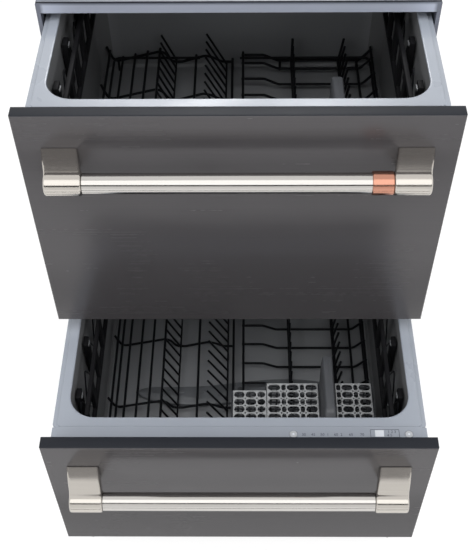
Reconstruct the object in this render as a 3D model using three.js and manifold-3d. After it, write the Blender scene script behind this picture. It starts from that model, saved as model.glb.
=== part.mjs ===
// A two-drawer dishwasher with both drawers pulled out, the lower one nearly all the way.
// Millimetres. X runs to the right as seen from the front, Y into the cabinet, Z up.
// The origin is on the floor, midway across, in the plane of the cabinet's front frame.
// A drawer is drawn shut, with Z measured from its tub's rim, and its group then carries it out.
import * as THREE from "three";
import { mergeVertices } from "three/addons/utils/BufferGeometryUtils.js";
import Module from "manifold-3d";

const wasm = await Module();
wasm.setup();

// ---- Driving dimensions -------------------------------------------------------------------

// Cabinet
const CABINET_WIDTH = 599;
const CABINET_HEIGHT = 820; // with the levelling feet wound fully in
const CABINET_DEPTH = 555.2;
const SHEET = 1.2; // steel sheet of the cabinet
const CORNER_RADIUS = 4; // the front frame's outer corners
const TOP_BAR_HEIGHT = 19;
const FRAME_DEPTH = 18; // of the front frame's bars and uprights
const LEG_WIDTH = 6; // the front frame's uprights
const MID_RAIL_HEIGHT = 19;
const MID_RAIL_LIFT = 3.4; // the lower panel's top edge to the middle rail
const BACK_INSET = 8.2; // the back sheet, in from the rear edges of the sides
const BASE_LIFT = 14; // floor to the base tray's underside
const TRAY_THICKNESS = 2;
const LINER_GAP = 0.5; // side sheet to the liner that carries the runners
const INLET_RADIUS = 12;
const DRAIN_RADIUS = 10;
const FITTING_HEIGHT = 70; // floor to the water fittings
const INLET_X = -200;
const DRAIN_X = -150;
const SPIGOT_WALL = 3;

// Levelling feet
const FOOT_RADIUS = 15;
const FOOT_THICKNESS = 8;
const FOOT_EDGE = 5; // height of the sole's round edge
const FOOT_COLLAR = 9; // radius where the sole meets the stem
const BOSS_RADIUS = 11; // the tray's boss over each foot
const STEM_RADIUS = 5;
const FOOT_TRAVEL = 60;
const FOOT_INSET_X = 16.5; // cabinet's side to a foot's centre
const FOOT_INSET_FRONT = 20;
const FOOT_INSET_BACK = 30.2;

// Front panels, shut
const PANEL_SIDE_GAP = 1; // cabinet's side to the panel's edge
const PANEL_THICKNESS = 20;
const PANEL_STANDOFF = 3; // front frame to the panel's back
const PANEL_GAP = 5; // between the two panels
const TOP_PANEL_DROP = 3.9; // cabinet's top to the top panel's top edge
const TOE_SPACE = 72.5; // floor to the lower panel
const LOWER_PANEL_HEIGHT = 305.1;
const PANEL_SKIN = 1.2;
const PANEL_RETURN = 16; // the fold round the panel's open back
const FRAME_SHEET = 1.2; // the plate behind the panel
const KICK_CLEARANCE = 8; // round the kick plate
const RIM_DROP = 30; // panel's top edge to the tub's rim

// How far the drawers stand out
const TOP_DRAWER_OUT = 228.5;
const LOWER_DRAWER_OUT = 466.25;

// Tub
const RIM_SIDE_GAP = 8.5; // cabinet's side to the rim
const RIM_LIP_WIDTH = 7.5; // the lower step round the outside of the rim
const RIM_LIP_DROP = 3;
const RIM_THICKNESS = 4;
const SIDE_RIM_WIDTH = 22.5;
const OPENING_FRONT = 50;
const OPENING_TO_BACK = 35.2; // tub's opening to the cabinet's rear edge
const OPENING_RADIUS = 42;
const REAR_RIM_WIDTH = 16;
const TUB_WALL = 2.5;
const TUB_DRAFT = 5; // how far each wall leans in by the floor
const UNDER_TUB = 8; // base tray to the lower drawer's motor
const MOTOR_HEIGHT = 22;
const MOTOR_RADIUS = 105;

// Control strip in front of the tub's opening
const STRIP_LENGTH = 35.7;
const STRIP_BOX_HEIGHT = 51;
const STRIP_BOX_LAP = 3.5; // the box's ends past the tub's opening
const BUTTON_RADIUS = 6;
const BUTTON_RISE = 0.8;
const BUTTON_TRAVEL = 1.2;
const BUTTON_FRONT = 19.3; // front frame to the buttons' centres, with the drawer shut
const START_BUTTON_INSET = 29; // rim's end to the start button
const BUTTON_SPREAD = 178; // between the two buttons

// Handle
const HANDLE_REACH = 49.5; // panel's face to the bar's centre
const BAR_DROP = 73; // panel's top edge to the bar's centre
const BAR_RADIUS = 14;
const CAP_RADIUS = 16.5;
const CAP_LENGTH = 50;
const CAP_INSET = 43; // panel's edge to a cap's outer end
const POST_SHIFT = 10; // a post's foot stands this much further out than its cap
const POST_HEIGHT = 38; // of the foot, on the panel
const POST_DROP = 54; // panel's top edge to the foot's top
const TENON_RADIUS = 9.5;
const TENON_LENGTH = 16;
const BAR_BORE = 8;
const POST_WALL = 4;
const POST_EASE = 1; // the post's head, in from the round cap above and below

// Telescopic runners
const RUNNER_DROP = 60; // rim to the runners' centre line
const RUNNER_HEIGHT = 45;
const RUNNER_SHEET = 1.5;
const BALL_GAP = 1.5; // between nested members
const TUB_TO_RUNNER = 5.5;
const FIXED_BACK_GAP = 25; // back sheet to the fixed members
const MIDDLE_BACK_GAP = 55; // back sheet to the middle members, shut
const INNER_BACK_GAP = 47; // back sheet to the inner members, shut
const RUNNER_INSET = 22; // front frame to the members' front ends, shut

// Lids that seal the tubs
const LID_TRAVEL = 6;
const LID_SHEET = 2.5;
const LID_SIDE_GAP = 11.5; // cabinet's side to the lid
const SEAL_HEIGHT = 5;
const SEAL_WIDTH = 10;
const LID_FRONT = 24;
const PEG_RADIUS = 3;
const PEG_INSET = 2; // lid's edge to the pegs' centres
const HANGER_WIDTH = 30;
const HANGER_EDGE = 7; // peg's centre to its hanger's free edge
const LID_RIB_WIDTH = 6;
const LID_RIB_PITCH = 150;

// Racks, tines and the basket
const WIRE = 4;
const RACK_LIFT = 22; // tub's floor to the wires' low points
const RACK_FRONT = 70;
const RACK_BACK_GAP = 20; // last hoop to the back of the tub's opening
const LONG_WIRE_RISE = 0.85; // a long wire's centre over a cross wire's, in wires
const LONG_WIRE_PITCH = 24;
const LEFT_CROSS_PITCH = 145.5;
const RIGHT_CROSS_PITCH = 46.5;
const RACK_SIDE_GAP = 13.5; // tub's wall to the rack, at the floor
const RACK_MIDDLE_GAP = 12; // middle of the tub to the left rack
const OUTER_AXLE_X = 120; // middle of the tub to the folding rows' axles
const INNER_AXLE_X = 25;
const AXLE_DIP = 2; // how far the cross wires dip under the axles
const RIGHT_STEP = 13; // how far the right rack's cross wires step up near the middle
// Bends of a cross wire: distance from the edge or axle named, and height over the low points.
const LEFT_EDGE_BENDS = [[0, 32], [9, 6], [17, 0]];
const OUTER_AXLE_BENDS = [[-30, 22], [-20, 17]];
const INNER_AXLE_BENDS = [[-40, 12], [-27, 8]];
const AXLE_SEAT = 9; // half the flat under an axle
const RIGHT_STEP_END = 45;
const RIGHT_LOW_START = 72;
const RIGHT_EDGE_BENDS = [[24, 0], [3, 26]];
const LEFT_LONG_START = 28; // rack's outer edge to its second long wire
const LEFT_FOOT_INSET = 19;
const RIGHT_FOOT_INSET = 28;
const RIGHT_LONG_INSET = 30;
const EDGE_WIRE_INSET = 5;
const LEFT_CROSS_START = 27; // first hoop to the first wire behind it
const RIGHT_CROSS_START = 33;
const CROSS_END = 20; // last cross wire to the last hoop, at least
const COMB_CLEARANCE = 4; // the basket's grip to the fixed tines
const OUTER_FIXED_TINES = 64; // rack's right edge to the rows of fixed tines
const INNER_FIXED_TINES = 152;
const TINE_PITCH = 23;
const TINE_WIDTH = 3.6;
const OUTER_TINE_LENGTH = 62;
const INNER_TINE_LENGTH = 76;
const FIXED_TINE_LENGTH = 50;
const OUTER_TINE_LEAN = 24; // degrees to the left of upright
const INNER_TINE_LEAN = 28;
const CUP_RACK_HEIGHT = 75;
const CUP_RACK_THICKNESS = 7;
const CUP_RACK_DROP = 20; // rim to the folded rack's top edge
const CUP_RACK_GAP = 21.5; // tub's side to the rack's outer face
const PIVOT_OFFSET = 3; // from the plate's outer lower edge to the pivot, both ways
const ARM_BLOCK = 6; // width of the tub's arm at each pivot
const CUP_BAY = 62;
const CUP_RIB = 9;
const CUP_TOOTH = 6;
const CUP_TOOTH_START = 0.62; // share of a bay where a tooth begins, and where its tip is
const CUP_TOOTH_TIP = 0.8;
const CUP_ARM_FRONT = 66; // rack's ends to the tub's arms
const CUP_ARM_BACK = 52;
const LUG_LENGTH = 9;
const BASKET_LEFT = -14;
const BASKET_SIDE_GAP = 14; // rack's right edge to the basket
const BASKET_FRONT = 70;
const BASKET_LENGTH = 141;
const BASKET_TOP = -150; // from the rim
const BASKET_WALL = 3;
const BASKET_GRIP_INSET = 81.5; // basket's right side to the grip's middle
const BASKET_GRIP_WIDTH = 27;
const BASKET_GRIP_HEIGHT = 52;
const GRIP_TAPER = 4.5; // each side's lean in, at the grip's top
const GRIP_OVERHANG = 27;
const SMALL_CELL_RIGHT = 46;
const SMALL_CELL_STEP = 15; // how much shorter the small cell is
const LID_SLOT_PITCH_X = 22;
const LID_SLOT_PITCH_Y = 16;
const TOP_BASKET_SHIFT = -12; // the top drawer's basket stands nearer the front
const BASKET_LID_THICKNESS = 2.5;

// Spray arm and detergent dispenser
const ARM_RADIUS = 205;
const ARM_WIDTH = 44;
const ARM_THICKNESS = 9;
const ARM_LIFT = 3.3; // tub's floor to the arm
const ARM_BEND = 9;
const ARM_TAPER = 0.3; // share of the width lost at the tips
const MOTOR_EDGE = 4; // the motor's lower edge, cut off at 45 degrees
const NECK_RISE = 2; // the motor's neck over the tub's floor
const BOSS_RISE = 3;
const SPINDLE_RADIUS = 6;
const HUB_RADIUS = 16;
const DISPENSER_X = -110;
const DISPENSER_WIDTH = 80;
const DISPENSER_HEIGHT = 90;
const DISPENSER_DROP = 60;
const DISPENSER_DEPTH = 19;
const DISPENSER_LID_THICKNESS = 3;
const DISPENSER_EDGE = 8;
const DISPENSER_WELL = 12;

// Clearances
const GAP = 0.3; // between pieces that touch
const RUNNING = 0.5; // round pieces that move

// ---- Places worked out from the dimensions --------------------------------------------------

const halfWidth = CABINET_WIDTH / 2;
const sideInner = halfWidth - SHEET;
const linerOuter = sideInner - LINER_GAP;
const linerInner = linerOuter - SHEET;
const trayTop = BASE_LIFT + TRAY_THICKNESS;
const backFace = CABINET_DEPTH - BACK_INSET;
const panelHalfWidth = halfWidth - PANEL_SIDE_GAP;
const panelBack = -PANEL_STANDOFF;
const panelFace = panelBack - PANEL_THICKNESS;
const lowerPanelTop = TOE_SPACE + LOWER_PANEL_HEIGHT;
const topPanelTop = CABINET_HEIGHT - TOP_PANEL_DROP;
const topPanelHeight = topPanelTop - lowerPanelTop - PANEL_GAP;
const topRim = topPanelTop - RIM_DROP;
const lowerRim = lowerPanelTop - RIM_DROP;
const midRailBottom = lowerPanelTop + MID_RAIL_LIFT;
const midRailTop = midRailBottom + MID_RAIL_HEIGHT;

const openingBack = CABINET_DEPTH - OPENING_TO_BACK;
const rimBack = openingBack + REAR_RIM_WIDTH;
const stripFront = panelBack + GAP;
const stripBack = stripFront + STRIP_LENGTH;
const rimHalfWidth = halfWidth - RIM_SIDE_GAP;
const rimTopHalfWidth = rimHalfWidth - RIM_LIP_WIDTH;
const openingHalfWidth = rimHalfWidth - SIDE_RIM_WIDTH;
const lipBottom = -RIM_LIP_DROP - RIM_THICKNESS;

// Both tubs are alike, as deep as the tighter of the two bays allows.
const underFloor = TUB_WALL + GAP + MOTOR_HEIGHT;
const lowerBayDepth = lowerRim - trayTop - UNDER_TUB - underFloor;
const topBayDepth = topRim - midRailTop - UNDER_TUB - underFloor;
const floor = -Math.min(lowerBayDepth, topBayDepth);
const floorBottom = floor - TUB_WALL;
const motorTop = floorBottom - GAP;
const motorBottom = motorTop - MOTOR_HEIGHT;
const tubCentre = (OPENING_FRONT + openingBack) / 2;

const runnerInner = openingHalfWidth + TUB_WALL + TUB_TO_RUNNER;
const runnerBand = RUNNER_HEIGHT / 2;
const midOuter = halfWidth - LEG_WIDTH - 2 * RUNNING;
const midInner = runnerInner + RUNNER_SHEET + 2;
const fixedInner = midInner + 2 * BALL_GAP + 1;
const memberEdge = midOuter - RUNNER_SHEET - BALL_GAP;
const buttonBottom = -RIM_THICKNESS - 2.5;
const startButtonX = rimHalfWidth - START_BUTTON_INSET;
const powerButtonX = startButtonX - BUTTON_SPREAD;

const lidHalfWidth = halfWidth - LID_SIDE_GAP;
const pegX = lidHalfWidth - PEG_INSET;
const hangerRows = [OPENING_FRONT + 45, openingBack - 55];
const hangerLift = GAP + LID_TRAVEL + SEAL_HEIGHT + LID_SHEET + 2 * RUNNING;

// ---- Materials --------------------------------------------------------------------------------

const finish = (color, roughness, metalness) =>
  new THREE.MeshStandardMaterial({ color, roughness, metalness, flatShading: true });

const slateSteel = finish(0x4c4d52, 0.38, 0.9);
const frameSteel = finish(0x3a3f4c, 0.4, 0.8);
const galvanised = finish(0x9a9d9f, 0.5, 0.9);
const runnerSteel = finish(0xa9adb0, 0.35, 0.9);
const satinSteel = finish(0xc3c1bb, 0.25, 1);
const greyPlastic = finish(0xb3b8c0, 0.5, 0);
const tubPlastic = finish(0x45474a, 0.45, 0);
const blackPlastic = finish(0x17181a, 0.45, 0);
const rackCoat = finish(0x1e1f20, 0.4, 0);
const basketPlastic = finish(0x2b2c2e, 0.5, 0);
const lidPlastic = finish(0x8d8f90, 0.45, 0);
const motorPlastic = finish(0x303236, 0.6, 0);
const buttonPlastic = finish(0xd5d8dd, 0.4, 0);
const sealRubber = finish(0x55585c, 0.6, 0);

// ---- Shape helpers ----------------------------------------------------------------------------

// A closed three.js geometry as a solid that can be joined and cut.
function solid(geometry) {
  const bare = geometry.index ? geometry.toNonIndexed() : geometry.clone();
  bare.deleteAttribute("normal");
  bare.deleteAttribute("uv");
  const merged = mergeVertices(bare);
  const vertProperties = new Float32Array(merged.attributes.position.array);
  const triVerts = new Uint32Array(fullTriangles(merged.index.array));
  return new wasm.Manifold(new wasm.Mesh({ numProp: 3, vertProperties, triVerts }));
}

// The triangles whose three corners differ: a turned body has empty ones on its axis.
function fullTriangles(index) {
  const full = [];
  for (let i = 0; i < index.length; i += 3) {
    const [a, b, c] = index.slice(i, i + 3);
    if (a !== b && b !== c && c !== a) full.push(a, b, c);
  }
  return full;
}

const join = (first, ...rest) => rest.reduce((whole, next) => whole.add(next), first);
const cut = (first, ...rest) => rest.reduce((whole, next) => whole.subtract(next), first);

// A solid as a named mesh with its own material.
function piece(name, body, material) {
  const { vertProperties, triVerts, numProp } = body.getMesh();
  const geometry = new THREE.BufferGeometry();
  const count = vertProperties.length / numProp;
  const position = new Float32Array(count * 3);
  for (let i = 0; i < count; i += 1) {
    position.set(vertProperties.subarray(i * numProp, i * numProp + 3), i * 3);
  }
  geometry.setAttribute("position", new THREE.BufferAttribute(position, 3));
  geometry.setIndex(new THREE.BufferAttribute(new Uint32Array(triVerts), 1));
  geometry.computeVertexNormals();
  const mesh = new THREE.Mesh(geometry, material);
  mesh.name = name;
  return mesh;
}

function box([x0, x1], [y0, y1], [z0, z1]) {
  const geometry = new THREE.BoxGeometry(x1 - x0, y1 - y0, z1 - z0);
  return solid(geometry.translate((x0 + x1) / 2, (y0 + y1) / 2, (z0 + z1) / 2));
}

// A round bar along X, Y or Z, from one end to the other, centred on the other two coordinates.
function rod(axis, radius, [from, to], [a, b], sides = 16) {
  const geometry = new THREE.CylinderGeometry(radius, radius, to - from, sides);
  const middle = (from + to) / 2;
  if (axis === "x") return solid(geometry.rotateZ(-Math.PI / 2).translate(middle, a, b));
  if (axis === "y") return solid(geometry.translate(a, middle, b));
  return solid(geometry.rotateX(Math.PI / 2).translate(a, b, middle));
}

function outline(points, holes = []) {
  const shape = new THREE.Shape(points.map(([u, v]) => new THREE.Vector2(u, v)));
  shape.holes = holes.map((hole) => new THREE.Path(hole.map(([u, v]) => new THREE.Vector2(u, v))));
  return shape;
}

const extrusion = (shape, depth, curveSegments = 6) =>
  new THREE.ExtrudeGeometry(shape, { depth, bevelEnabled: false, curveSegments });

// An outline in X and Y, standing from z0 to z1.
function upright(shape, [z0, z1], curveSegments) {
  return solid(extrusion(shape, z1 - z0, curveSegments).translate(0, 0, z0));
}

// An outline in X and Z, running from y0 to y1.
function alongY(shape, [y0, y1], curveSegments) {
  return solid(extrusion(shape, y1 - y0, curveSegments).rotateX(Math.PI / 2).translate(0, y1, 0));
}

// An outline in Y and Z, running from x0 to x1.
function alongX(shape, [x0, x1]) {
  const turn = new THREE.Matrix4().makeBasis(
    new THREE.Vector3(0, 1, 0),
    new THREE.Vector3(0, 0, 1),
    new THREE.Vector3(1, 0, 0),
  );
  return solid(extrusion(shape, x1 - x0).applyMatrix4(turn).translate(x0, 0, 0));
}

const rectangle = (u0, u1, v0, v1) => [
  [u0, v0],
  [u1, v0],
  [u1, v1],
  [u0, v1],
];

// A level ring of points: a rectangle with round corners, anticlockwise from above.
function ring(half, [y0, y1], radius, z, steps = 4) {
  const corners = [
    [half - radius, y0 + radius, -90],
    [half - radius, y1 - radius, 0],
    [radius - half, y1 - radius, 90],
    [radius - half, y0 + radius, 180],
  ];
  return corners.flatMap(([x, y, start]) =>
    Array.from({ length: steps + 1 }, (_, i) => {
      const angle = THREE.MathUtils.degToRad(start + (90 * i) / steps);
      return [x + radius * Math.cos(angle), y + radius * Math.sin(angle), z];
    }),
  );
}

// A closed body through rings with equal numbers of points, capped on its first and last ring.
function loft(rings) {
  const count = rings[0].length;
  const position = new Float32Array(rings.flat(2));
  const index = [];
  for (let r = 0; r + 1 < rings.length; r += 1) {
    for (let i = 0; i < count; i += 1) {
      const a = r * count + i;
      const b = r * count + ((i + 1) % count);
      index.push(a, b, a + count, b, b + count, a + count);
    }
  }
  const last = (rings.length - 1) * count;
  for (let i = 1; i + 1 < count; i += 1) {
    index.push(0, i + 1, i);
    index.push(last, last + i, last + i + 1);
  }
  const geometry = new THREE.BufferGeometry();
  geometry.setAttribute("position", new THREE.BufferAttribute(position, 3));
  geometry.setIndex(index);
  return solid(geometry);
}

// A body turned about the Z axis, from a profile of [radius, z] points.
function turned(points, sides = 24) {
  const profile = points.map(([radius, z]) => new THREE.Vector2(radius, z));
  return solid(new THREE.LatheGeometry(profile, sides).rotateX(Math.PI / 2));
}

// A span on the left (side -1) or right (side 1), from distances out of the middle.
const span = (side, inner, outer) => (side < 0 ? [-outer, -inner] : [inner, outer]);

// A bent wire seen end on: the outline that follows a polyline at half a wire on either side.
function bentWire(points) {
  const sides = points.map(([u, v], i) => {
    const before = points[Math.max(i - 1, 0)];
    const after = points[Math.min(i + 1, points.length - 1)];
    const inward = new THREE.Vector2(u - before[0], v - before[1]).normalize();
    const outward = new THREE.Vector2(after[0] - u, after[1] - v).normalize();
    const along = inward.clone().add(outward).normalize();
    const reach = WIRE / 2 / Math.max(along.dot(inward), along.dot(outward), 0.5);
    return { u, v, nu: -along.y * reach, nv: along.x * reach };
  });
  const left = sides.map(({ u, v, nu, nv }) => [u + nu, v + nv]);
  const right = sides.map(({ u, v, nu, nv }) => [u - nu, v - nv]);
  return outline([...right, ...left.reverse()]);
}

// The height of a polyline at a given place along it.
function heightAt(points, place) {
  const next = points.findIndex(([u]) => u >= place);
  const [u0, v0] = points[Math.max(next - 1, 0)];
  const [u1, v1] = points[Math.max(next, 1)];
  return v0 + ((v1 - v0) * (place - u0)) / (u1 - u0);
}

// ---- Cabinet ----------------------------------------------------------------------------------

function cabinet() {
  const group = new THREE.Group();
  const barBottom = CABINET_HEIGHT - TOP_BAR_HEIGHT;
  const sheetBottom = CABINET_HEIGHT - SHEET;
  const behindFrame = FRAME_DEPTH + GAP;
  const doorway = halfWidth - LEG_WIDTH;
  const standing = trayTop + GAP;

  for (const [side, word] of [[-1, "left"], [1, "right"]]) {
    const rows = [behindFrame, CABINET_DEPTH];
    const sheet = box(span(side, sideInner, halfWidth), rows, [BASE_LIFT, sheetBottom - GAP]);
    group.add(piece("cabinet_side_" + word, sheet, galvanised));
    group.add(piece("runner_wall_" + word, runnerWall(side), galvanised));
  }

  const top = box([-halfWidth, halfWidth], [behindFrame, CABINET_DEPTH], [sheetBottom, CABINET_HEIGHT]);
  group.add(piece("cabinet_top", top, galvanised));
  group.add(piece("cabinet_back", cabinetBack(), galvanised));
  group.add(piece("base_tray", baseTray(), galvanised));

  const roundCorner = (side, start) =>
    Array.from({ length: 5 }, (_, i) => {
      const angle = THREE.MathUtils.degToRad(start + i * 22.5);
      const x = side * (halfWidth - CORNER_RADIUS) + CORNER_RADIUS * Math.cos(angle);
      return [x, CABINET_HEIGHT - CORNER_RADIUS + CORNER_RADIUS * Math.sin(angle)];
    });
  const frame = outline(
    [
      [-halfWidth, standing],
      [-doorway, standing],
      [-doorway, midRailBottom],
      [doorway, midRailBottom],
      [doorway, standing],
      [halfWidth, standing],
      ...roundCorner(1, 0),
      ...roundCorner(-1, 90),
    ],
    [rectangle(-doorway, doorway, midRailTop, barBottom)],
  );
  group.add(piece("front_frame", alongY(frame, [0, FRAME_DEPTH]), frameSteel));
  return group;
}

// The sheet that lines one side and carries the fixed runner members and the lid hangers.
function runnerWall(side) {
  const rows = [FRAME_DEPTH + GAP, backFace - SHEET - GAP];
  const wall = box(span(side, linerInner, linerOuter), rows, [trayTop + GAP, CABINET_HEIGHT - SHEET - GAP]);
  const extras = [];
  for (const rim of [topRim, lowerRim]) {
    for (const edge of [-1, 1]) {
      const outerFace = rim - RUNNER_DROP + edge * runnerBand;
      const innerFace = outerFace - edge * RUNNER_SHEET;
      const heights = [Math.min(outerFace, innerFace), Math.max(outerFace, innerFace)];
      const length = [RUNNER_INSET, backFace - FIXED_BACK_GAP];
      extras.push(box(span(side, fixedInner, linerOuter), length, heights));
    }
    for (const row of hangerRows) {
      const tab = [row - HANGER_WIDTH / 2, row + HANGER_WIDTH / 2];
      const heights = [rim + hangerLift, rim + hangerLift + RUNNER_SHEET];
      const plate = box(span(side, pegX - HANGER_EDGE, linerOuter), tab, heights);
      const hole = rod("z", PEG_RADIUS + RUNNING, [heights[0] - 1, heights[1] + 1], [side * pegX, row], 10);
      extras.push(cut(plate, hole));
    }
  }
  return join(wall, ...extras);
}

// The back sheet with its water inlet and drain spigots, which end level with the side sheets.
function cabinetBack() {
  const width = sideInner - GAP;
  const face = backFace - SHEET;
  const sheet = box([-width, width], [face, backFace], [trayTop + GAP, CABINET_HEIGHT - SHEET - GAP]);
  const fittings = [
    [INLET_X, INLET_RADIUS],
    [DRAIN_X, DRAIN_RADIUS],
  ];
  const spigots = fittings.map(([x, radius]) => {
    const tube = rod("y", radius, [face, CABINET_DEPTH], [x, FITTING_HEIGHT]);
    const bore = rod("y", radius - SPIGOT_WALL, [backFace, CABINET_DEPTH + 1], [x, FITTING_HEIGHT]);
    return cut(tube, bore);
  });
  return join(sheet, ...spigots);
}

const footPlaces = [
  ["front_left", -1, FOOT_INSET_FRONT],
  ["front_right", 1, FOOT_INSET_FRONT],
  ["rear_left", -1, CABINET_DEPTH - FOOT_INSET_BACK],
  ["rear_right", 1, CABINET_DEPTH - FOOT_INSET_BACK],
];
const footX = halfWidth - FOOT_INSET_X;

function baseTray() {
  const width = sideInner - GAP;
  const plate = box([-width, width], [0, backFace], [BASE_LIFT, trayTop]);
  const bosses = footPlaces.map(([, side, y]) =>
    rod("z", BOSS_RADIUS, [FOOT_THICKNESS + GAP, trayTop], [side * footX, y]),
  );
  const holes = footPlaces.map(([, side, y]) =>
    rod("z", STEM_RADIUS + RUNNING, [0, trayTop + 1], [side * footX, y]),
  );
  return cut(join(plate, ...bosses), ...holes);
}

// A levelling foot: a round sole on a threaded stem that passes through the tray.
function foot() {
  const stemTop = trayTop + FOOT_TRAVEL + FOOT_THICKNESS;
  return turned(
    [
      [0, 0],
      [FOOT_RADIUS - 1, 0],
      [FOOT_RADIUS, 1],
      [FOOT_RADIUS, FOOT_EDGE],
      [FOOT_COLLAR, FOOT_THICKNESS],
      [STEM_RADIUS, FOOT_THICKNESS],
      [STEM_RADIUS, stemTop],
      [0, stemTop],
    ],
    12,
  );
}

// ---- Runners and lids ---------------------------------------------------------------------------

// The middle member of one telescopic runner, with the drawer shut. Z is from the rim.
function middleMember(side) {
  const rows = [RUNNER_INSET, backFace - MIDDLE_BACK_GAP];
  const outerFace = runnerBand - RUNNER_SHEET - BALL_GAP;
  const low = -RUNNER_DROP - outerFace;
  const high = -RUNNER_DROP + outerFace;
  const web = box(span(side, midOuter - RUNNER_SHEET, midOuter), rows, [low, high]);
  const bottom = box(span(side, midInner, midOuter), rows, [low, low + RUNNER_SHEET]);
  const top = box(span(side, midInner, midOuter), rows, [high - RUNNER_SHEET, high]);
  return join(web, bottom, top);
}

// The lid that drops onto the tub, drawn raised, with its seal and its pegs. Z is from the rim.
function tubLid() {
  const sealBottom = GAP + LID_TRAVEL;
  const plateBottom = sealBottom + SEAL_HEIGHT;
  const plateTop = plateBottom + LID_SHEET;
  const length = [LID_FRONT, rimBack + RIM_THICKNESS];
  const plate = box([-lidHalfWidth, lidHalfWidth], length, [plateBottom, plateTop]);
  const sealCentre = (OPENING_FRONT - stripBack) / 2;
  const around = (by) => {
    const rows = [OPENING_FRONT - by, openingBack + by];
    return ring(openingHalfWidth + by, rows, OPENING_RADIUS + by, 0).map(([x, y]) => [x, y]);
  };
  const sealSection = outline(around(sealCentre + SEAL_WIDTH / 2), [around(sealCentre - SEAL_WIDTH / 2)]);
  const seal = upright(sealSection, [sealBottom, plateTop]);
  const ribs = [-LID_RIB_PITCH, 0, LID_RIB_PITCH].map((along) => {
    const row = tubCentre + along - LID_RIB_WIDTH / 2;
    const heights = [plateBottom, plateTop + LID_RIB_WIDTH];
    return box([-openingHalfWidth, openingHalfWidth], [row, row + LID_RIB_WIDTH], heights);
  });
  const headBottom = hangerLift + RUNNER_SHEET + LID_TRAVEL + GAP;
  const pegs = [-1, 1].flatMap((side) =>
    hangerRows.flatMap((row) => [
      rod("z", PEG_RADIUS, [plateBottom, headBottom + RUNNER_SHEET], [side * pegX, row], 10),
      rod("z", PEG_RADIUS * 1.7, [headBottom, headBottom + RUNNER_SHEET], [side * pegX, row], 10),
    ]),
  );
  return join(plate, seal, ...ribs, ...pegs);
}

// ---- Drawer ---------------------------------------------------------------------------------------

// The tub: a thin-walled box with round corners and leaning walls, under a stepped rim.
function tub() {
  const wallTop = openingHalfWidth + TUB_WALL;
  const rows = [OPENING_FRONT, openingBack];
  const grown = (by, [y0, y1] = rows) => [y0 - by, y1 + by];
  const lip = RIM_THICKNESS;
  const outside = [stripBack + GAP, rimBack];
  const body = loft([
    ring(wallTop - TUB_DRAFT, grown(TUB_WALL - TUB_DRAFT), OPENING_RADIUS, floorBottom),
    ring(wallTop, grown(TUB_WALL), OPENING_RADIUS, -RIM_THICKNESS),
    ring(rimTopHalfWidth - lip, grown(-lip, outside), lip, -RIM_THICKNESS),
    ring(rimTopHalfWidth - lip, grown(-lip, outside), lip, lipBottom),
    ring(rimHalfWidth, outside, lip, lipBottom),
    ring(rimHalfWidth, outside, lip, -RIM_LIP_DROP),
    ring(rimTopHalfWidth, outside, lip, -RIM_LIP_DROP),
    ring(rimTopHalfWidth, outside, lip, 0),
    ring(openingHalfWidth + 1, grown(1), OPENING_RADIUS, 0),
    ring(openingHalfWidth, rows, OPENING_RADIUS, -1),
    ring(openingHalfWidth - TUB_DRAFT, grown(-TUB_DRAFT), OPENING_RADIUS, floor),
  ]);
  const hubHole = rod("z", HUB_RADIUS + RUNNING, [floorBottom - 1, floor + 1], [0, tubCentre], 24);
  const armInner = pivotX - PIVOT_OFFSET + RUNNING;
  const arms = [-1, 1].flatMap((side) =>
    cupRackArmRows.map((row) =>
      box(span(side, armInner, openingHalfWidth), [row, row + ARM_BLOCK], pivotBand),
    ),
  );
  return cut(join(body, dispenserBody(), ...arms), hubHole, dispenserWell());
}

const dispenserX = [DISPENSER_X - DISPENSER_WIDTH / 2, DISPENSER_X + DISPENSER_WIDTH / 2];
const dispenserZ = [-DISPENSER_DROP - DISPENSER_HEIGHT, -DISPENSER_DROP];
const dispenserFace = OPENING_FRONT + DISPENSER_DEPTH;
const dispenserBody = () => box(dispenserX, [OPENING_FRONT, dispenserFace], dispenserZ);

function dispenserWell() {
  const across = [dispenserX[0] + DISPENSER_EDGE, dispenserX[1] - DISPENSER_EDGE];
  const heights = [dispenserZ[0] + DISPENSER_EDGE, dispenserZ[1] - DISPENSER_EDGE];
  return box(across, [dispenserFace - DISPENSER_WELL, dispenserFace + 1], heights);
}

function dispenserLid() {
  const edge = DISPENSER_EDGE / 2;
  const across = [dispenserX[0] + edge, dispenserX[1] - edge];
  const face = dispenserFace + GAP;
  return box(across, [face, face + DISPENSER_LID_THICKNESS], [dispenserZ[0] + edge, dispenserZ[1] - edge]);
}

// The strip that carries the controls, level with the rim, over the box of the electronics.
function controlStrip() {
  const top = rimTopHalfWidth;
  const under = RIM_THICKNESS;
  const section = outline([
    [-rimHalfWidth, lipBottom],
    [-top + under, lipBottom],
    [-top + under, -RIM_THICKNESS],
    [top - under, -RIM_THICKNESS],
    [top - under, lipBottom],
    [rimHalfWidth, lipBottom],
    [rimHalfWidth, -RIM_LIP_DROP],
    [top, -RIM_LIP_DROP],
    [top, 0],
    [-top, 0],
    [-top, -RIM_LIP_DROP],
    [-rimHalfWidth, -RIM_LIP_DROP],
  ]);
  const plate = alongY(section, [stripFront, stripBack]);
  const across = [-openingHalfWidth - STRIP_BOX_LAP, openingHalfWidth + STRIP_BOX_LAP];
  const electronics = box(across, [0, stripBack - TUB_WALL], [-STRIP_BOX_HEIGHT, -RIM_THICKNESS / 2]);
  const depth = buttonBottom - BUTTON_TRAVEL - GAP;
  const sockets = [powerButtonX, startButtonX].map((x) =>
    rod("z", BUTTON_RADIUS + RUNNING, [depth, 1], [x, BUTTON_FRONT]),
  );
  return cut(join(plate, electronics), ...sockets);
}

const button = (x) => rod("z", BUTTON_RADIUS, [buttonBottom, BUTTON_RISE], [x, BUTTON_FRONT]);

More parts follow.
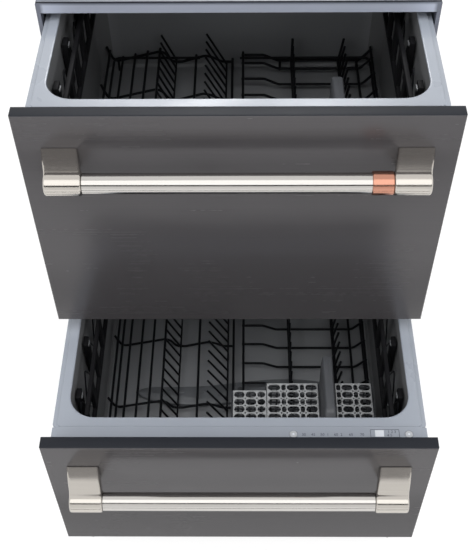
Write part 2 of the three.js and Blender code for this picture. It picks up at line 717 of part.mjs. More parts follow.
// The front panel's folded steel skin, open at the back where the drawer frame closes it.
function frontPanel(height) {
  const bottom = RIM_DROP - height;
  const rows = [panelFace, panelBack];
  const shell = box([-panelHalfWidth, panelHalfWidth], rows, [bottom, RIM_DROP]);
  const inside = panelHalfWidth - PANEL_SKIN;
  const hollow = box(
    [-inside, inside],
    [panelFace + PANEL_SKIN, panelBack - PANEL_SKIN],
    [bottom + PANEL_SKIN, RIM_DROP - PANEL_SKIN],
  );
  const edge = inside - PANEL_RETURN;
  const depth = rows.map((y) => y + PANEL_SKIN * 2);
  const window = box([-edge, edge], depth, [bottom + PANEL_RETURN, -PANEL_RETURN]);
  return cut(shell, hollow, window);
}

// The plate behind the front panel and the two inner runner members, in one welded piece.
function drawerFrame(height) {
  const bottom = RIM_DROP - height + PANEL_RETURN / 2;
  const plateHalf = runnerInner + RUNNER_SHEET + RIM_LIP_WIDTH;
  const rows = [stripFront, backFace - INNER_BACK_GAP];
  const back = stripFront + FRAME_SHEET;
  const plate = box([-plateHalf, plateHalf], [stripFront, back], [bottom, lipBottom - GAP]);
  const outerFace = runnerBand - 2 * (RUNNER_SHEET + BALL_GAP);
  const low = -RUNNER_DROP - outerFace;
  const high = -RUNNER_DROP + outerFace;
  const members = [-1, 1].flatMap((side) => [
    box(span(side, runnerInner, runnerInner + RUNNER_SHEET), rows, [low, -RIM_THICKNESS - GAP]),
    box(span(side, runnerInner, memberEdge), rows, [low, low + RUNNER_SHEET]),
    box(span(side, runnerInner, memberEdge), rows, [high - RUNNER_SHEET, high]),
  ]);
  const seam = [stripBack - GAP, stripBack + RIM_THICKNESS * 1.5];
  const notch = box([-plateHalf, plateHalf], seam, [lipBottom - GAP, 0]);
  return cut(join(plate, ...members), notch);
}

// A kick plate under the lower drawer's panel, set back and carried on two arms.
function toeKick(rim, height) {
  const heights = [trayTop + KICK_CLEARANCE - rim, RIM_DROP - height + GAP];
  const half = openingHalfWidth - TUB_DRAFT;
  const back = OPENING_FRONT - KICK_CLEARANCE;
  const plate = box([-half, half], [back - SHEET, back], heights);
  const front = stripFront + FRAME_SHEET + GAP;
  const lap = [heights[0], heights[1] + PANEL_RETURN];
  const arms = [-1, 1].map((side) => box(span(side, half - SHEET, half), [front, back], lap));
  return join(plate, ...arms);
}

const barY = panelFace - HANDLE_REACH;
const barZ = RIM_DROP - BAR_DROP;
const capOuter = panelHalfWidth - CAP_INSET;
const capInner = capOuter - CAP_LENGTH;

// A handle post: a foot on the panel that slants inward and tapers into a round end cap.
function handlePost(side) {
  const footTop = RIM_DROP - POST_DROP;
  const block = (inset, front) => {
    const along = (front - panelFace) / (barY - panelFace);
    const foot = rectangle(
      ...span(side, capInner + POST_SHIFT + inset, capOuter + POST_SHIFT - inset),
      footTop - POST_HEIGHT + inset,
      footTop - inset,
    );
    const head = rectangle(
      ...span(side, capInner + inset, capOuter - inset),
      barZ - CAP_RADIUS + POST_EASE + inset,
      barZ + CAP_RADIUS - POST_EASE - inset,
    );
    const start = panelFace - GAP;
    const end = head.map(([x, z], i) => {
      const [footX0, footZ0] = foot[i];
      return [footX0 + (x - footX0) * along, front, footZ0 + (z - footZ0) * along];
    });
    return loft([foot.map(([x, z]) => [x, inset ? start + 1 : start, z]), end]);
  };
  const cap = rod("x", CAP_RADIUS, span(side, capInner, capOuter), [barY, barZ], 18);
  const depth = span(side, capInner - 1, capInner + TENON_LENGTH + 1);
  const socket = rod("x", TENON_RADIUS + GAP, depth, [barY, barZ], 18);
  return cut(join(block(0, barY), cap), socket, block(POST_WALL, barY + CAP_RADIUS + POST_WALL));
}

// The handle's tube, stepped down at both ends to sit in the caps.
function handleBar() {
  const end = capInner - GAP;
  const tip = capInner + TENON_LENGTH;
  const profile = [
    [BAR_BORE, -tip],
    [TENON_RADIUS, -tip],
    [TENON_RADIUS, -end],
    [BAR_RADIUS, -end],
    [BAR_RADIUS, end],
    [TENON_RADIUS, end],
    [TENON_RADIUS, tip],
    [BAR_BORE, tip],
    [BAR_BORE, -tip],
  ].map(([radius, along]) => new THREE.Vector2(radius, along));
  const tube = new THREE.LatheGeometry(profile, 18).rotateZ(-Math.PI / 2);
  return solid(tube.translate(0, barY, barZ));
}

// The wash motor under the tub, with the neck and spindle that reach up through its floor.
function washMotor() {
  const spindleTop = floor + ARM_LIFT + ARM_THICKNESS + SPINDLE_RADIUS;
  const motor = turned([
    [0, motorBottom],
    [MOTOR_RADIUS - MOTOR_EDGE, motorBottom],
    [MOTOR_RADIUS, motorBottom + MOTOR_EDGE],
    [MOTOR_RADIUS, motorTop],
    [HUB_RADIUS, motorTop],
    [HUB_RADIUS, floor + NECK_RISE],
    [SPINDLE_RADIUS, floor + NECK_RISE],
    [SPINDLE_RADIUS, spindleTop],
    [0, spindleTop],
  ]);
  return motor.translate([0, tubCentre, 0]);
}

// The spray arm: a flat blade with round tips and a slight S bend, on a round boss.
function sprayArm() {
  const steps = 12;
  const blade = (edge) =>
    Array.from({ length: steps + 1 }, (_, i) => {
      const t = Math.cos((Math.PI * i) / steps);
      const half = (ARM_WIDTH / 2) * (1 - ARM_TAPER * t * t) * (1 - t ** 12) + GAP;
      return [ARM_RADIUS * t, tubCentre + ARM_BEND * Math.sin(Math.PI * t) + edge * half];
    });
  const heights = [floor + ARM_LIFT, floor + ARM_LIFT + ARM_THICKNESS];
  const flat = upright(outline([...blade(-1).reverse(), ...blade(1)]), heights);
  const boss = rod("z", HUB_RADIUS + TUB_WALL, [heights[0], heights[1] + BOSS_RISE], [0, tubCentre], 24);
  const bore = rod("z", SPINDLE_RADIUS + GAP, [heights[0] - 1, heights[1] + BOSS_RISE + 1], [0, tubCentre]);
  return cut(join(flat, boss), bore);
}

// ---- Racks ----------------------------------------------------------------------------------------

// A comb in Y and Z: a rail with upright tines, its rail's underside at zero.
function comb(start, end, length) {
  const count = Math.floor((end - start - TINE_WIDTH) / TINE_PITCH);
  const points = [
    [start, 0],
    [start + count * TINE_PITCH + TINE_WIDTH, 0],
  ];
  for (let i = count; i >= 0; i -= 1) {
    const y = start + i * TINE_PITCH;
    points.push([y + TINE_WIDTH, i === count ? length : TINE_WIDTH]);
    if (i !== count) points.push([y + TINE_WIDTH, length]);
    points.push([y, length]);
    if (i > 0) points.push([y, TINE_WIDTH]);
  }
  return outline(points);
}

// A folding row of tines on its axle, drawn upright with the axle at the origin.
function tineRow(start, end, length) {
  const half = TINE_WIDTH / 2;
  return alongX(comb(start, end, length + half), [-half, half]).translate([0, 0, -half]);
}

const rackZ = floor + RACK_LIFT;
const rackEdge = openingHalfWidth - TUB_DRAFT - RACK_SIDE_GAP;
const rackBack = openingBack - RACK_BACK_GAP;
const outerAxleX = -OUTER_AXLE_X;
const innerAxleX = -INNER_AXLE_X;
const axleZ = rackZ - AXLE_DIP + WIRE / 2 + RUNNING + TINE_WIDTH * Math.SQRT1_2;

// The bends of each rack's cross wires, as X and height over the low points.
const leftBends = [
  ...LEFT_EDGE_BENDS.map(([u, v]) => [u - rackEdge, v]),
  ...OUTER_AXLE_BENDS.map(([u, v]) => [u + outerAxleX, v]),
  [outerAxleX - AXLE_SEAT, -AXLE_DIP],
  [outerAxleX + AXLE_SEAT, -AXLE_DIP],
  ...INNER_AXLE_BENDS.map(([u, v]) => [u + innerAxleX, v]),
  [innerAxleX - AXLE_SEAT, -AXLE_DIP],
  [-RACK_MIDDLE_GAP, -AXLE_DIP],
];
const rightBends = [
  [RACK_MIDDLE_GAP / 4, RIGHT_STEP],
  [RIGHT_STEP_END, RIGHT_STEP],
  [RIGHT_LOW_START, 0],
  ...RIGHT_EDGE_BENDS.map(([u, v]) => [rackEdge - u, v]),
];

// A rack of cross wires bent alike, long wires laid on them, and feet that stand on the tub's floor.
function rack(bends, crossRows, longPlaces, feet) {
  const raised = bends.map(([x, z]) => [x, z + rackZ]);
  const shape = bentWire(raised);
  const cross = crossRows.map((y) => alongY(shape, [y - WIRE / 2, y + WIRE / 2]));
  const long = longPlaces.map((x) => {
    const z = heightAt(raised, x) + WIRE * LONG_WIRE_RISE;
    const across = [x - WIRE / 2, x + WIRE / 2];
    return box(across, [RACK_FRONT - WIRE, rackBack + WIRE], [z - WIRE / 2, z + WIRE / 2]);
  });
  const stands = feet.flatMap((x) =>
    [RACK_FRONT, rackBack].map((y) => {
      const across = [x - WIRE / 2, x + WIRE / 2];
      return box(across, [y - WIRE / 2, y + WIRE / 2], [floor + GAP, heightAt(raised, x)]);
    }),
  );
  return join(...cross, ...long, ...stands);
}

// Evenly spaced places from one end, as far as the other.
const rowsBetween = (start, end, pitch) =>
  Array.from({ length: Math.floor((end - start) / pitch) + 1 }, (_, i) => start + i * pitch);

function leftRack() {
  const between = rowsBetween(RACK_FRONT + LEFT_CROSS_START, rackBack - CROSS_END, LEFT_CROSS_PITCH);
  const fieldEnd = outerAxleX + OUTER_AXLE_BENDS[0][0];
  const field = rowsBetween(LEFT_LONG_START - rackEdge, fieldEnd, LONG_WIRE_PITCH);
  const betweenAxles = (outerAxleX + innerAxleX) / 2 - EDGE_WIRE_INSET * 2;
  const inner = -RACK_MIDDLE_GAP - WIRE / 2;
  const long = [EDGE_WIRE_INSET - rackEdge, ...field, betweenAxles, inner];
  return rack(leftBends, [RACK_FRONT, ...between, rackBack], long, [LEFT_FOOT_INSET - rackEdge, inner]);
}

function rightRack() {
  const between = rowsBetween(RACK_FRONT + RIGHT_CROSS_START, rackBack - CROSS_END, RIGHT_CROSS_PITCH);
  const long = [RACK_MIDDLE_GAP / 2, rackEdge - RIGHT_LONG_INSET, rackEdge - EDGE_WIRE_INSET];
  const feet = [RIGHT_LOW_START + WIRE, rackEdge - RIGHT_FOOT_INSET];
  const frame = rack(rightBends, [RACK_FRONT, ...between, rackBack], long, feet);
  const half = TINE_WIDTH / 2;
  const fixed = comb(basketBack + GRIP_OVERHANG + COMB_CLEARANCE, rackBack, FIXED_TINE_LENGTH);
  const rows = [rackEdge - INNER_FIXED_TINES, rackEdge - OUTER_FIXED_TINES].map((x) =>
    alongX(fixed, [x - half, x + half]).translate([0, 0, rackZ + WIRE / 4]),
  );
  return join(frame, ...rows);
}

const cupRackX = openingHalfWidth - CUP_RACK_GAP;
const pivotX = cupRackX + PIVOT_OFFSET;
const cupRackTop = -CUP_RACK_DROP;
const cupRackBottom = cupRackTop - CUP_RACK_HEIGHT;
const pivotZ = cupRackBottom - PIVOT_OFFSET;
const pivotBand = [pivotZ - PIVOT_OFFSET, pivotZ + PIVOT_OFFSET];
const cupRackRows = [RACK_FRONT - 4, rackBack + 4];
const cupRackArmRows = [cupRackRows[0] + CUP_ARM_FRONT, cupRackRows[1] - CUP_ARM_BACK];

// A cup rack folded up against the tub's side: a plate with windows, a toothed lower edge and lugs.
function cupRack(side) {
  const [start, end] = cupRackRows;
  const bays = Math.floor((end - start) / CUP_BAY);
  const pitch = (end - start) / bays;
  const through = span(side, cupRackX - CUP_RACK_THICKNESS - 1, cupRackX + 1);
  const heights = [cupRackBottom + CUP_RIB, cupRackTop - CUP_RIB];
  const lower = [];
  const windows = [];
  for (let i = 0; i < bays; i += 1) {
    const y = start + i * pitch;
    lower.push([y, cupRackBottom], [y + pitch * CUP_TOOTH_START, cupRackBottom]);
    lower.push([y + pitch * CUP_TOOTH_TIP, cupRackBottom - CUP_TOOTH]);
    windows.push(box(through, [y + CUP_RIB, y + pitch - CUP_RIB], heights));
  }
  const shape = outline([...lower, [end, cupRackBottom], [end, cupRackTop], [start, cupRackTop]]);
  const plate = alongX(shape, span(side, cupRackX - CUP_RACK_THICKNESS, cupRackX));
  const lugs = cupRackArmRows.map((row) => {
    const near = row + ARM_BLOCK + RUNNING;
    const across = span(side, cupRackX - PIVOT_OFFSET, pivotX + PIVOT_OFFSET);
    return box(across, [near, near + LUG_LENGTH], [pivotBand[0], cupRackBottom + 1]);
  });
  return join(cut(plate, ...windows), ...lugs);
}

// ---- Cutlery basket -------------------------------------------------------------------------------

const basketBack = BASKET_FRONT + BASKET_LENGTH;
const basketBottom = rackZ + RIGHT_STEP + WIRE * (0.5 + LONG_WIRE_RISE) + RUNNING;
const basketRight = rackEdge - BASKET_SIDE_GAP;
const gripX = basketRight - BASKET_GRIP_INSET;
const gripLeft = gripX - BASKET_GRIP_WIDTH / 2;
const gripRight = gripX + BASKET_GRIP_WIDTH / 2;
const smallBack = basketBack - SMALL_CELL_STEP;

// The cells as [left, right, back] of their insides.
const cells = [
  [BASKET_LEFT + BASKET_WALL, SMALL_CELL_RIGHT, smallBack - BASKET_WALL],
  [SMALL_CELL_RIGHT + BASKET_WALL, gripLeft - BASKET_WALL, basketBack - BASKET_WALL],
  [gripRight + BASKET_WALL, basketRight - BASKET_WALL, basketBack - BASKET_WALL],
];

// The basket with its three cells and the tall wedge that it is lifted by.
function basket() {
  const heights = [basketBottom, BASKET_TOP];
  const main = box([SMALL_CELL_RIGHT, basketRight], [BASKET_FRONT, basketBack], heights);
  const small = box([BASKET_LEFT, SMALL_CELL_RIGHT + BASKET_WALL], [BASKET_FRONT, smallBack], heights);
  const holes = cells.map(([left, right, back]) =>
    box([left, right], [BASKET_FRONT + BASKET_WALL, back], [basketBottom + BASKET_WALL, BASKET_TOP + 1]),
  );
  const wellRows = [BASKET_FRONT + BASKET_WALL, basketBack - BASKET_WALL];
  const underGrip = box([gripLeft, gripRight], wellRows, [basketBottom - 1, BASKET_TOP - 2 * BASKET_WALL]);
  const level = (inset, [y0, y1], z) =>
    rectangle(gripLeft + inset, gripRight - inset, y0, y1).map(([x, y]) => [x, y, z]);
  const footRows = [BASKET_FRONT + RUNNING, basketBack - RUNNING];
  const topRows = [BASKET_FRONT + BASKET_GRIP_HEIGHT, basketBack + GRIP_OVERHANG];
  const grip = loft([
    level(RUNNING, footRows, BASKET_TOP - BASKET_WALL),
    level(GRIP_TAPER, topRows, BASKET_TOP + BASKET_GRIP_HEIGHT),
  ]);
  return join(cut(join(main, small), ...holes, underGrip), grip);
}

// One perforated lid of the basket.
function basketLid([left, right, back]) {
  const rest = BASKET_WALL / 2 - RUNNING;
  const across = [left - rest, right + rest];
  const rows = [BASKET_FRONT + BASKET_WALL - rest, back + BASKET_WALL];
  const heights = [BASKET_TOP + GAP, BASKET_TOP + GAP + BASKET_LID_THICKNESS];
  const columns = Math.floor((across[1] - across[0] - BASKET_WALL) / LID_SLOT_PITCH_X);
  const lines = Math.floor((rows[1] - rows[0] - BASKET_WALL) / LID_SLOT_PITCH_Y);
  const pitchX = (across[1] - across[0] - BASKET_WALL) / columns;
  const pitchY = (rows[1] - rows[0] - BASKET_WALL) / lines;
  const through = [heights[0] - 1, heights[1] + 1];
  const slots = [];
  for (let i = 0; i < columns; i += 1) {
    for (let j = 0; j < lines; j += 1) {
      const x = across[0] + BASKET_WALL + i * pitchX;
      const y = rows[0] + BASKET_WALL + j * pitchY;
      slots.push(box([x, x + pitchX - BASKET_WALL], [y, y + pitchY - BASKET_WALL], through));
    }
  }
  return cut(box(across, rows, heights), ...slots);
}

// ---- Assembly -------------------------------------------------------------------------------------

function placed(mesh, x, y, z) {
  mesh.position.set(x, y, z);
  return mesh;
}

// One drawer with everything that travels with it, drawn shut, Z from its rim.
function drawer(word, panelHeight, basketShift) {
  const group = new THREE.Group();
  const add = (name, body, material) => group.add(piece(word + "_" + name, body, material));
  add("front_panel", frontPanel(panelHeight), slateSteel);
  add("drawer_frame", drawerFrame(panelHeight), runnerSteel);
  add("handle_post_left", handlePost(-1), satinSteel);
  add("handle_post_right", handlePost(1), satinSteel);
  add("handle_bar", handleBar(), satinSteel);
  add("control_strip", controlStrip(), greyPlastic);
  add("power_button", button(powerButtonX), buttonPlastic);
  add("start_button", button(startButtonX), buttonPlastic);
  add("tub", tub(), tubPlastic);
  add("dispenser_lid", dispenserLid(), greyPlastic);
  add("wash_motor", washMotor(), motorPlastic);
  add("spray_arm", sprayArm(), blackPlastic);
  add("rack_left", leftRack(), rackCoat);
  add("rack_right", rightRack(), rackCoat);
  add("cup_rack_left", cupRack(-1), blackPlastic);
  add("cup_rack_right", cupRack(1), blackPlastic);

  const tineRows = [
    ["tines_outer", outerAxleX, OUTER_TINE_LENGTH, OUTER_TINE_LEAN, 0],
    ["tines_inner", innerAxleX, INNER_TINE_LENGTH, INNER_TINE_LEAN, TINE_PITCH / 2],
  ];
  for (const [name, x, length, lean, offset] of tineRows) {
    const row = tineRow(RACK_FRONT + TINE_PITCH / 2 + offset, rackBack - offset, length);
    const mesh = placed(piece(word + "_" + name, row, rackCoat), x, 0, axleZ);
    mesh.rotation.y = -THREE.MathUtils.degToRad(lean);
    group.add(mesh);
  }

  group.add(placed(piece(word + "_cutlery_basket", basket(), basketPlastic), 0, basketShift, 0));
  return group;
}

const dishwasher = new THREE.Group();
dishwasher.add(cabinet());

for (const [word, side, y] of footPlaces) {
  dishwasher.add(placed(piece("foot_" + word, foot(), motorPlastic), side * footX, y, 0));
}

const drawers = [
  ["top", topRim, TOP_DRAWER_OUT, topPanelHeight, TOP_BASKET_SHIFT],
  ["lower", lowerRim, LOWER_DRAWER_OUT, LOWER_PANEL_HEIGHT, 0],
];
for (const [word, rim, out, panelHeight, basketShift] of drawers) {
  dishwasher.add(placed(piece(word + "_tub_lid", tubLid(), sealRubber), 0, 0, rim));
  for (const [side, hand] of [[-1, "left"], [1, "right"]]) {
    const member = piece(word + "_middle_runner_" + hand, middleMember(side), runnerSteel);
    dishwasher.add(placed(member, 0, -out / 2, rim));
  }
  const moving = drawer(word, panelHeight, basketShift);
  moving.position.set(0, -out, rim);
  if (word === "lower") {
    moving.add(piece("toe_kick", toeKick(rim, panelHeight), frameSteel));
    const lidNames = ["basket_lid_small", "basket_lid_middle", "basket_lid_right"];
    cells.forEach((cell, i) => moving.add(piece(lidNames[i], basketLid(cell), lidPlastic)));
  }
  dishwasher.add(moving);
}

export default dishwasher;
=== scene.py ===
# %% [markdown]
# # A two-drawer dishwasher
# A slate coloured dishwasher with two drawers, both pulled out. The CAD model gives every
# place and size, so each cell below dresses one part of it: the steel front, the handles,
# the tubs, and the coated wire inside them.

# %% Load the frame
import math
import bmesh
import bpy
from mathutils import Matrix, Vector
from mathutils.kdtree import KDTree


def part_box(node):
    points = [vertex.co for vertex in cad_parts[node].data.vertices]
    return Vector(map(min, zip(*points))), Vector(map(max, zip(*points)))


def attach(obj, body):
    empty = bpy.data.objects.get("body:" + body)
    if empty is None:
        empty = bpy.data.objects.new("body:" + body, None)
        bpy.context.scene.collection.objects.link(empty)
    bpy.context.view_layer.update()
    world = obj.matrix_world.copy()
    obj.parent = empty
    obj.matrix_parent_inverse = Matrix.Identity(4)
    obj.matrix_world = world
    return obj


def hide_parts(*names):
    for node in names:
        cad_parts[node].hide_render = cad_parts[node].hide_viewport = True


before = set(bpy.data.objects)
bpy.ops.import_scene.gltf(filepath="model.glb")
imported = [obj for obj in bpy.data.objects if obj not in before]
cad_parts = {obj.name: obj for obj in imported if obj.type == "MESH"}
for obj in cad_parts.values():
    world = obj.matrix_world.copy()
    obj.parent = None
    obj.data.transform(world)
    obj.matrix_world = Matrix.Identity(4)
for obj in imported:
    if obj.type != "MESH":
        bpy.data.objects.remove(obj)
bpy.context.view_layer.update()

# %% [markdown]
# ## Where the drawers stand
# Both drawers are alike inside, so their pieces are drawn once, in a drawer's own frame:
# X across, Y back from the cabinet's front, and Z up from the tub's rim, with the drawer shut.
# A piece then goes to each drawer's place. That place is read from the control strips, whose
# top is level with the rim and whose front edge is 2.7 mm before the cabinet's front.

# %% Places of the drawers, in millimetres
MM = 0.001
STRIP_FRONT = -2.7


def drawer_place(word):
    low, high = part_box(word + "_control_strip")
    return Vector((0, low.y / MM - STRIP_FRONT, high.z / MM))


places = {word: drawer_place(word) for word in ("top", "lower")}
panel_bottoms = {}
for word, place in places.items():
    panel_bottoms[word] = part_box(word + "_front_panel")[0].z / MM - place.z
print("drawers:", places, "panel bottoms below the rim:", panel_bottoms)

# %% [markdown]
# ## Camera
# The photograph was taken from above and in front, so that both drawers are seen into. The
# camera's place and angles were worked out from the corners of the panels and the cabinet.

# %% Camera
bpy.ops.object.camera_add(location=(0.01095, -1.19836, 1.61845))
camera = bpy.context.object
camera.rotation_euler = [math.radians(a) for a in (40.1659, 0.4905, 0.3498)]
camera.data.sensor_fit = "VERTICAL"
camera.data.sensor_height = 36
camera.data.lens = 61.784
camera.data.clip_start = 0.02
bpy.context.scene.camera = camera
bpy.context.scene.view_settings.view_transform = "Standard"
print("camera at", tuple(camera.location))

# %% [markdown]
# ## Small tools for modelling
# Every piece starts as a primitive at its place and is shaped in edit mode. An operator acts
# on all that is selected, so each helper first deselects everything, then picks what it needs.


# %% Selecting and editing
def deselect_all():
    if bpy.context.object and bpy.context.object.mode != "OBJECT":
        bpy.ops.object.mode_set(mode="OBJECT")
    bpy.ops.object.select_all(action="DESELECT")


def activate(piece):
    deselect_all()
    piece.select_set(True)
    bpy.context.view_layer.objects.active = piece


def edit(piece, kind="FACE"):
    activate(piece)
    bpy.ops.object.mode_set(mode="EDIT")
    bpy.ops.mesh.select_mode(type=kind)
    bpy.ops.mesh.select_all(action="DESELECT")
    return bmesh.from_edit_mesh(piece.data)


def pick_faces(piece, wanted):
    """Edit mode, with the faces selected whose centre in mm and normal are wanted."""
    mesh = edit(piece, "FACE")
    for face in mesh.faces:
        if wanted(face.calc_center_median() / MM, face.normal):
            face.select_set(True)
    bmesh.update_edit_mesh(piece.data)


def pick_edges(piece, wanted):
    """Edit mode, with the edges selected whose two ends in mm are wanted."""
    mesh = edit(piece, "EDGE")
    for edge in mesh.edges:
        if wanted(*(vertex.co / MM for vertex in edge.verts)):
            edge.select_set(True)
    bmesh.update_edit_mesh(piece.data)


def finish_edit():
    bpy.ops.object.mode_set(mode="OBJECT")


def outward(piece):
    """Merges doubles and turns every face outwards."""
    edit(piece, "VERT")
    bpy.ops.mesh.select_all(action="SELECT")
    bpy.ops.mesh.remove_doubles(threshold=0.000002)
    bpy.ops.mesh.normals_make_consistent(inside=False)
    finish_edit()


def smooth(piece, angle=35):
    activate(piece)
    bpy.ops.object.shade_smooth_by_angle(angle=math.radians(angle))


def modify(piece, kind, **settings):
    activate(piece)
    modifier = piece.modifiers.new(kind.title(), kind)
    for name, value in settings.items():
        setattr(modifier, name, value)
    bpy.ops.object.modifier_apply(modifier=modifier.name)


def soften(piece, radius, segments=2, angle=40):
    modify(piece, "BEVEL", width=radius * MM, segments=segments, limit_method="ANGLE",
           angle_limit=math.radians(angle))
    smooth(piece)


def block(name, x, y, z):
    """A cube primitive at its place and size. x, y and z are (low, high) in millimetres."""
    deselect_all()
    middle = [(a + b) / 2 * MM for a, b in (x, y, z)]
    sides = [(b - a) * MM for a, b in (x, y, z)]
    bpy.ops.mesh.primitive_cube_add(size=1, location=middle, scale=sides)
    bpy.ops.object.transform_apply(location=True, rotation=True, scale=True)
    piece = bpy.context.object
    piece.name = name
    return piece


def cylinder(name, axis, radius, ends, across, sides=48):
    """A cylinder primitive along x, y or z. across gives the other two places, in order."""
    deselect_all()
    turn = {"x": (0, math.radians(90), 0), "y": (math.radians(90), 0, 0), "z": (0, 0, 0)}[axis]
    middle = list(across)
    middle.insert("xyz".index(axis), (ends[0] + ends[1]) / 2)
    bpy.ops.mesh.primitive_cylinder_add(
        vertices=sides, radius=radius * MM, depth=abs(ends[1] - ends[0]) * MM,
        location=[v * MM for v in middle], rotation=turn)
    bpy.ops.object.transform_apply(location=True, rotation=True, scale=True)
    piece = bpy.context.object
    piece.name = name
    return piece


def join(name, *pieces):
    deselect_all()
    for piece in pieces:
        piece.select_set(True)
    bpy.context.view_layer.objects.active = pieces[0]
    bpy.ops.object.join()
    bpy.context.object.name = name
    return bpy.context.object


def carve(piece, cutter):
    """Cuts one mesh out of another and deletes the cutter."""
    modify(piece, "BOOLEAN", operation="DIFFERENCE", object=cutter, solver="EXACT")
    bpy.data.objects.remove(cutter)


print("modelling tools ready")


# %% [markdown]
# ### Rings
# A moulded tub or a cast post is a skin that is pulled from one outline to the next, the way
# an edge loop is extruded and moved by hand. Each ring here is a rounded rectangle with the
# same number of points, so the loops match up.


# %% Skins pulled from ring to ring
def rounded(x, y, radius, z, steps=8):
    """A rounded rectangle lying flat, anticlockwise from above."""
    points = []
    corners = ((x[1], y[0], -90), (x[1], y[1], 0), (x[0], y[1], 90), (x[0], y[0], 180))
    for cx, cy, start in corners:
        sx, sy = (1 if cx == x[1] else -1), (1 if cy == y[1] else -1)
        for i in range(steps + 1):
            a = math.radians(start + 90 * i / steps)
            points.append(Vector((cx - sx * radius + radius * math.cos(a),
                                  cy - sy * radius + radius * math.sin(a), z)))
    return points


def pull(name, rings):
    """A skin through rings of points in mm, each loop extruded from the last and moved."""
    deselect_all()
    bpy.ops.mesh.primitive_circle_add(vertices=len(rings[0]), radius=1)
    piece = bpy.context.object
    piece.name = name
    for vertex, point in zip(piece.data.vertices, rings[0]):
        vertex.co = point * MM
    edit(piece, "EDGE")
    bpy.ops.mesh.select_all(action="SELECT")
    bpy.ops.mesh.edge_face_add()
    bpy.ops.mesh.select_all(action="SELECT")
    for before, after in zip(rings, rings[1:]):
        nearest = KDTree(len(before))
        for i, point in enumerate(before):
            nearest.insert(point, i)
        nearest.balance()
        bpy.ops.mesh.extrude_edges_move()
        mesh = bmesh.from_edit_mesh(piece.data)
        for vertex in mesh.verts:
            if vertex.select:
                vertex.co = after[nearest.find(vertex.co / MM)[1]] * MM
        bmesh.update_edit_mesh(piece.data)
    bpy.ops.mesh.edge_face_add()
    finish_edit()
    outward(piece)
    return piece


print("rings ready")


# %% [markdown]
# ### Bent wire
# A rack is drawn wire that is bent, welded and dipped in nylon. Each wire is a curve with a
# round section: straight runs, with an arc at each bend. All the wires of a rack are splines
# of one curve, which is made a mesh at the end.


# %% Wires
def bent(line, radius):
    """The line's points in mm, with each corner turned into an arc."""
    line = [Vector(p) for p in line]
    points = [line[0]]
    for before, here, after in zip(line, line[1:], line[2:]):
        a, b = (before - here), (after - here)
        turn = math.pi - a.angle(b)
        if turn < 0.02:
            points.append(here)
            continue
        reach = min(radius * math.tan(turn / 2), a.length * 0.45, b.length * 0.45)
        start, end = here + a.normalized() * reach, here + b.normalized() * reach
        steps = max(2, math.ceil(turn / 0.4))
        for i in range(steps + 1):
            t = i / steps
            points.append(start * (1 - t) ** 2 + here * 2 * t * (1 - t) + end * t ** 2)
    points.append(line[-1])
    return points


def wires(name, lines, radius, bend=8):
    curve = bpy.data.curves.new(name, "CURVE")
    curve.dimensions = "3D"
    curve.bevel_depth = radius * MM
    curve.bevel_resolution = 2
    curve.use_fill_caps = True
    for line in lines:
        points = bent(line, bend)
        spline = curve.splines.new("POLY")
        spline.points.add(len(points) - 1)
        for knot, point in zip(spline.points, points):
            knot.co = (*(c * MM for c in point), 1)
    piece = bpy.data.objects.new(name, curve)
    bpy.context.scene.collection.objects.link(piece)
    activate(piece)
    bpy.ops.object.convert(target="MESH")
    piece = bpy.context.object
    smooth(piece, 60)
    return piece


def row(piece, count, pitch):
    """Copies along Y, as an Array modifier that is applied."""
    modify(piece, "ARRAY", count=count, use_relative_offset=False,
           use_constant_offset=True, constant_offset_displace=(0, pitch * MM, 0))


print("wires ready")


# %% [markdown]
# ### To each drawer
# A finished piece is copied for the second drawer, each with its own mesh, moved to its place,
# and given to the body that it travels with, and the CAD nodes that it stands for are hidden.


# %% Placing the pieces
def move(piece, offset):
    activate(piece)
    piece.location = Vector(offset) * MM
    bpy.ops.object.transform_apply(location=True, rotation=True, scale=True)


def dress(piece, body, slot, material, *nodes):
    if material:
        piece.data.materials.clear()
        piece.data.materials.append(material)
    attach(piece, body)
    if nodes:
        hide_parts(*nodes)
    return piece


def to_drawers(piece, body, slot, material, nodes=(), shift=None):
    """Copies a piece drawn in a drawer's frame to both drawers."""
    name = piece.name
    activate(piece)
    bpy.ops.object.duplicate(linked=False)
    copies = {"top": piece, "lower": bpy.context.object}
    for word, copy in copies.items():
        copy.name = word + "_" + name
        move(copy, places[word] + Vector((shift or {}).get(word, (0, 0, 0))))
        dress(copy, word + "_" + body, slot, material, *(word + "_" + node for node in nodes))
    return copies


print("placing ready")

# %% [markdown]
# ## Finishes
# Effects that several finishes share are node groups: the streaks of brushed steel, a slow
# unevenness of sheen, the fine grain of moulded plastic, and dust that settles on what faces up.
# Each takes a place from Object coordinates, so a pattern stays put on its piece.


# %% Node helpers
def paint(red, green, blue):
    """A colour read from a screen, 0 to 255, as the linear colour that a shader takes."""
    def linear(v):
        v = v / 255
        return v / 12.92 if v <= 0.04045 else ((v + 0.055) / 1.055) ** 2.4
    return (linear(red), linear(green), linear(blue), 1)


def add(tree, kind, inputs=None, **settings):
    made = tree.nodes.new(kind)
    for name, value in settings.items():
        setattr(made, name, value)
    for name, value in (inputs or {}).items():
        if isinstance(value, bpy.types.NodeSocket):
            tree.links.new(value, made.inputs[name])
        else:
            made.inputs[name].default_value = value
    return made


def effect(name, inputs, outputs):
    tree = bpy.data.node_groups.new(name, "ShaderNodeTree")
    for label, kind, value in inputs:
        socket = tree.interface.new_socket(name=label, in_out="INPUT", socket_type=kind)
        socket.default_value = value
    for label in outputs:
        tree.interface.new_socket(name=label, in_out="OUTPUT", socket_type="NodeSocketFloat")
    return tree, tree.nodes.new("NodeGroupInput"), tree.nodes.new("NodeGroupOutput")


print("node helpers ready")

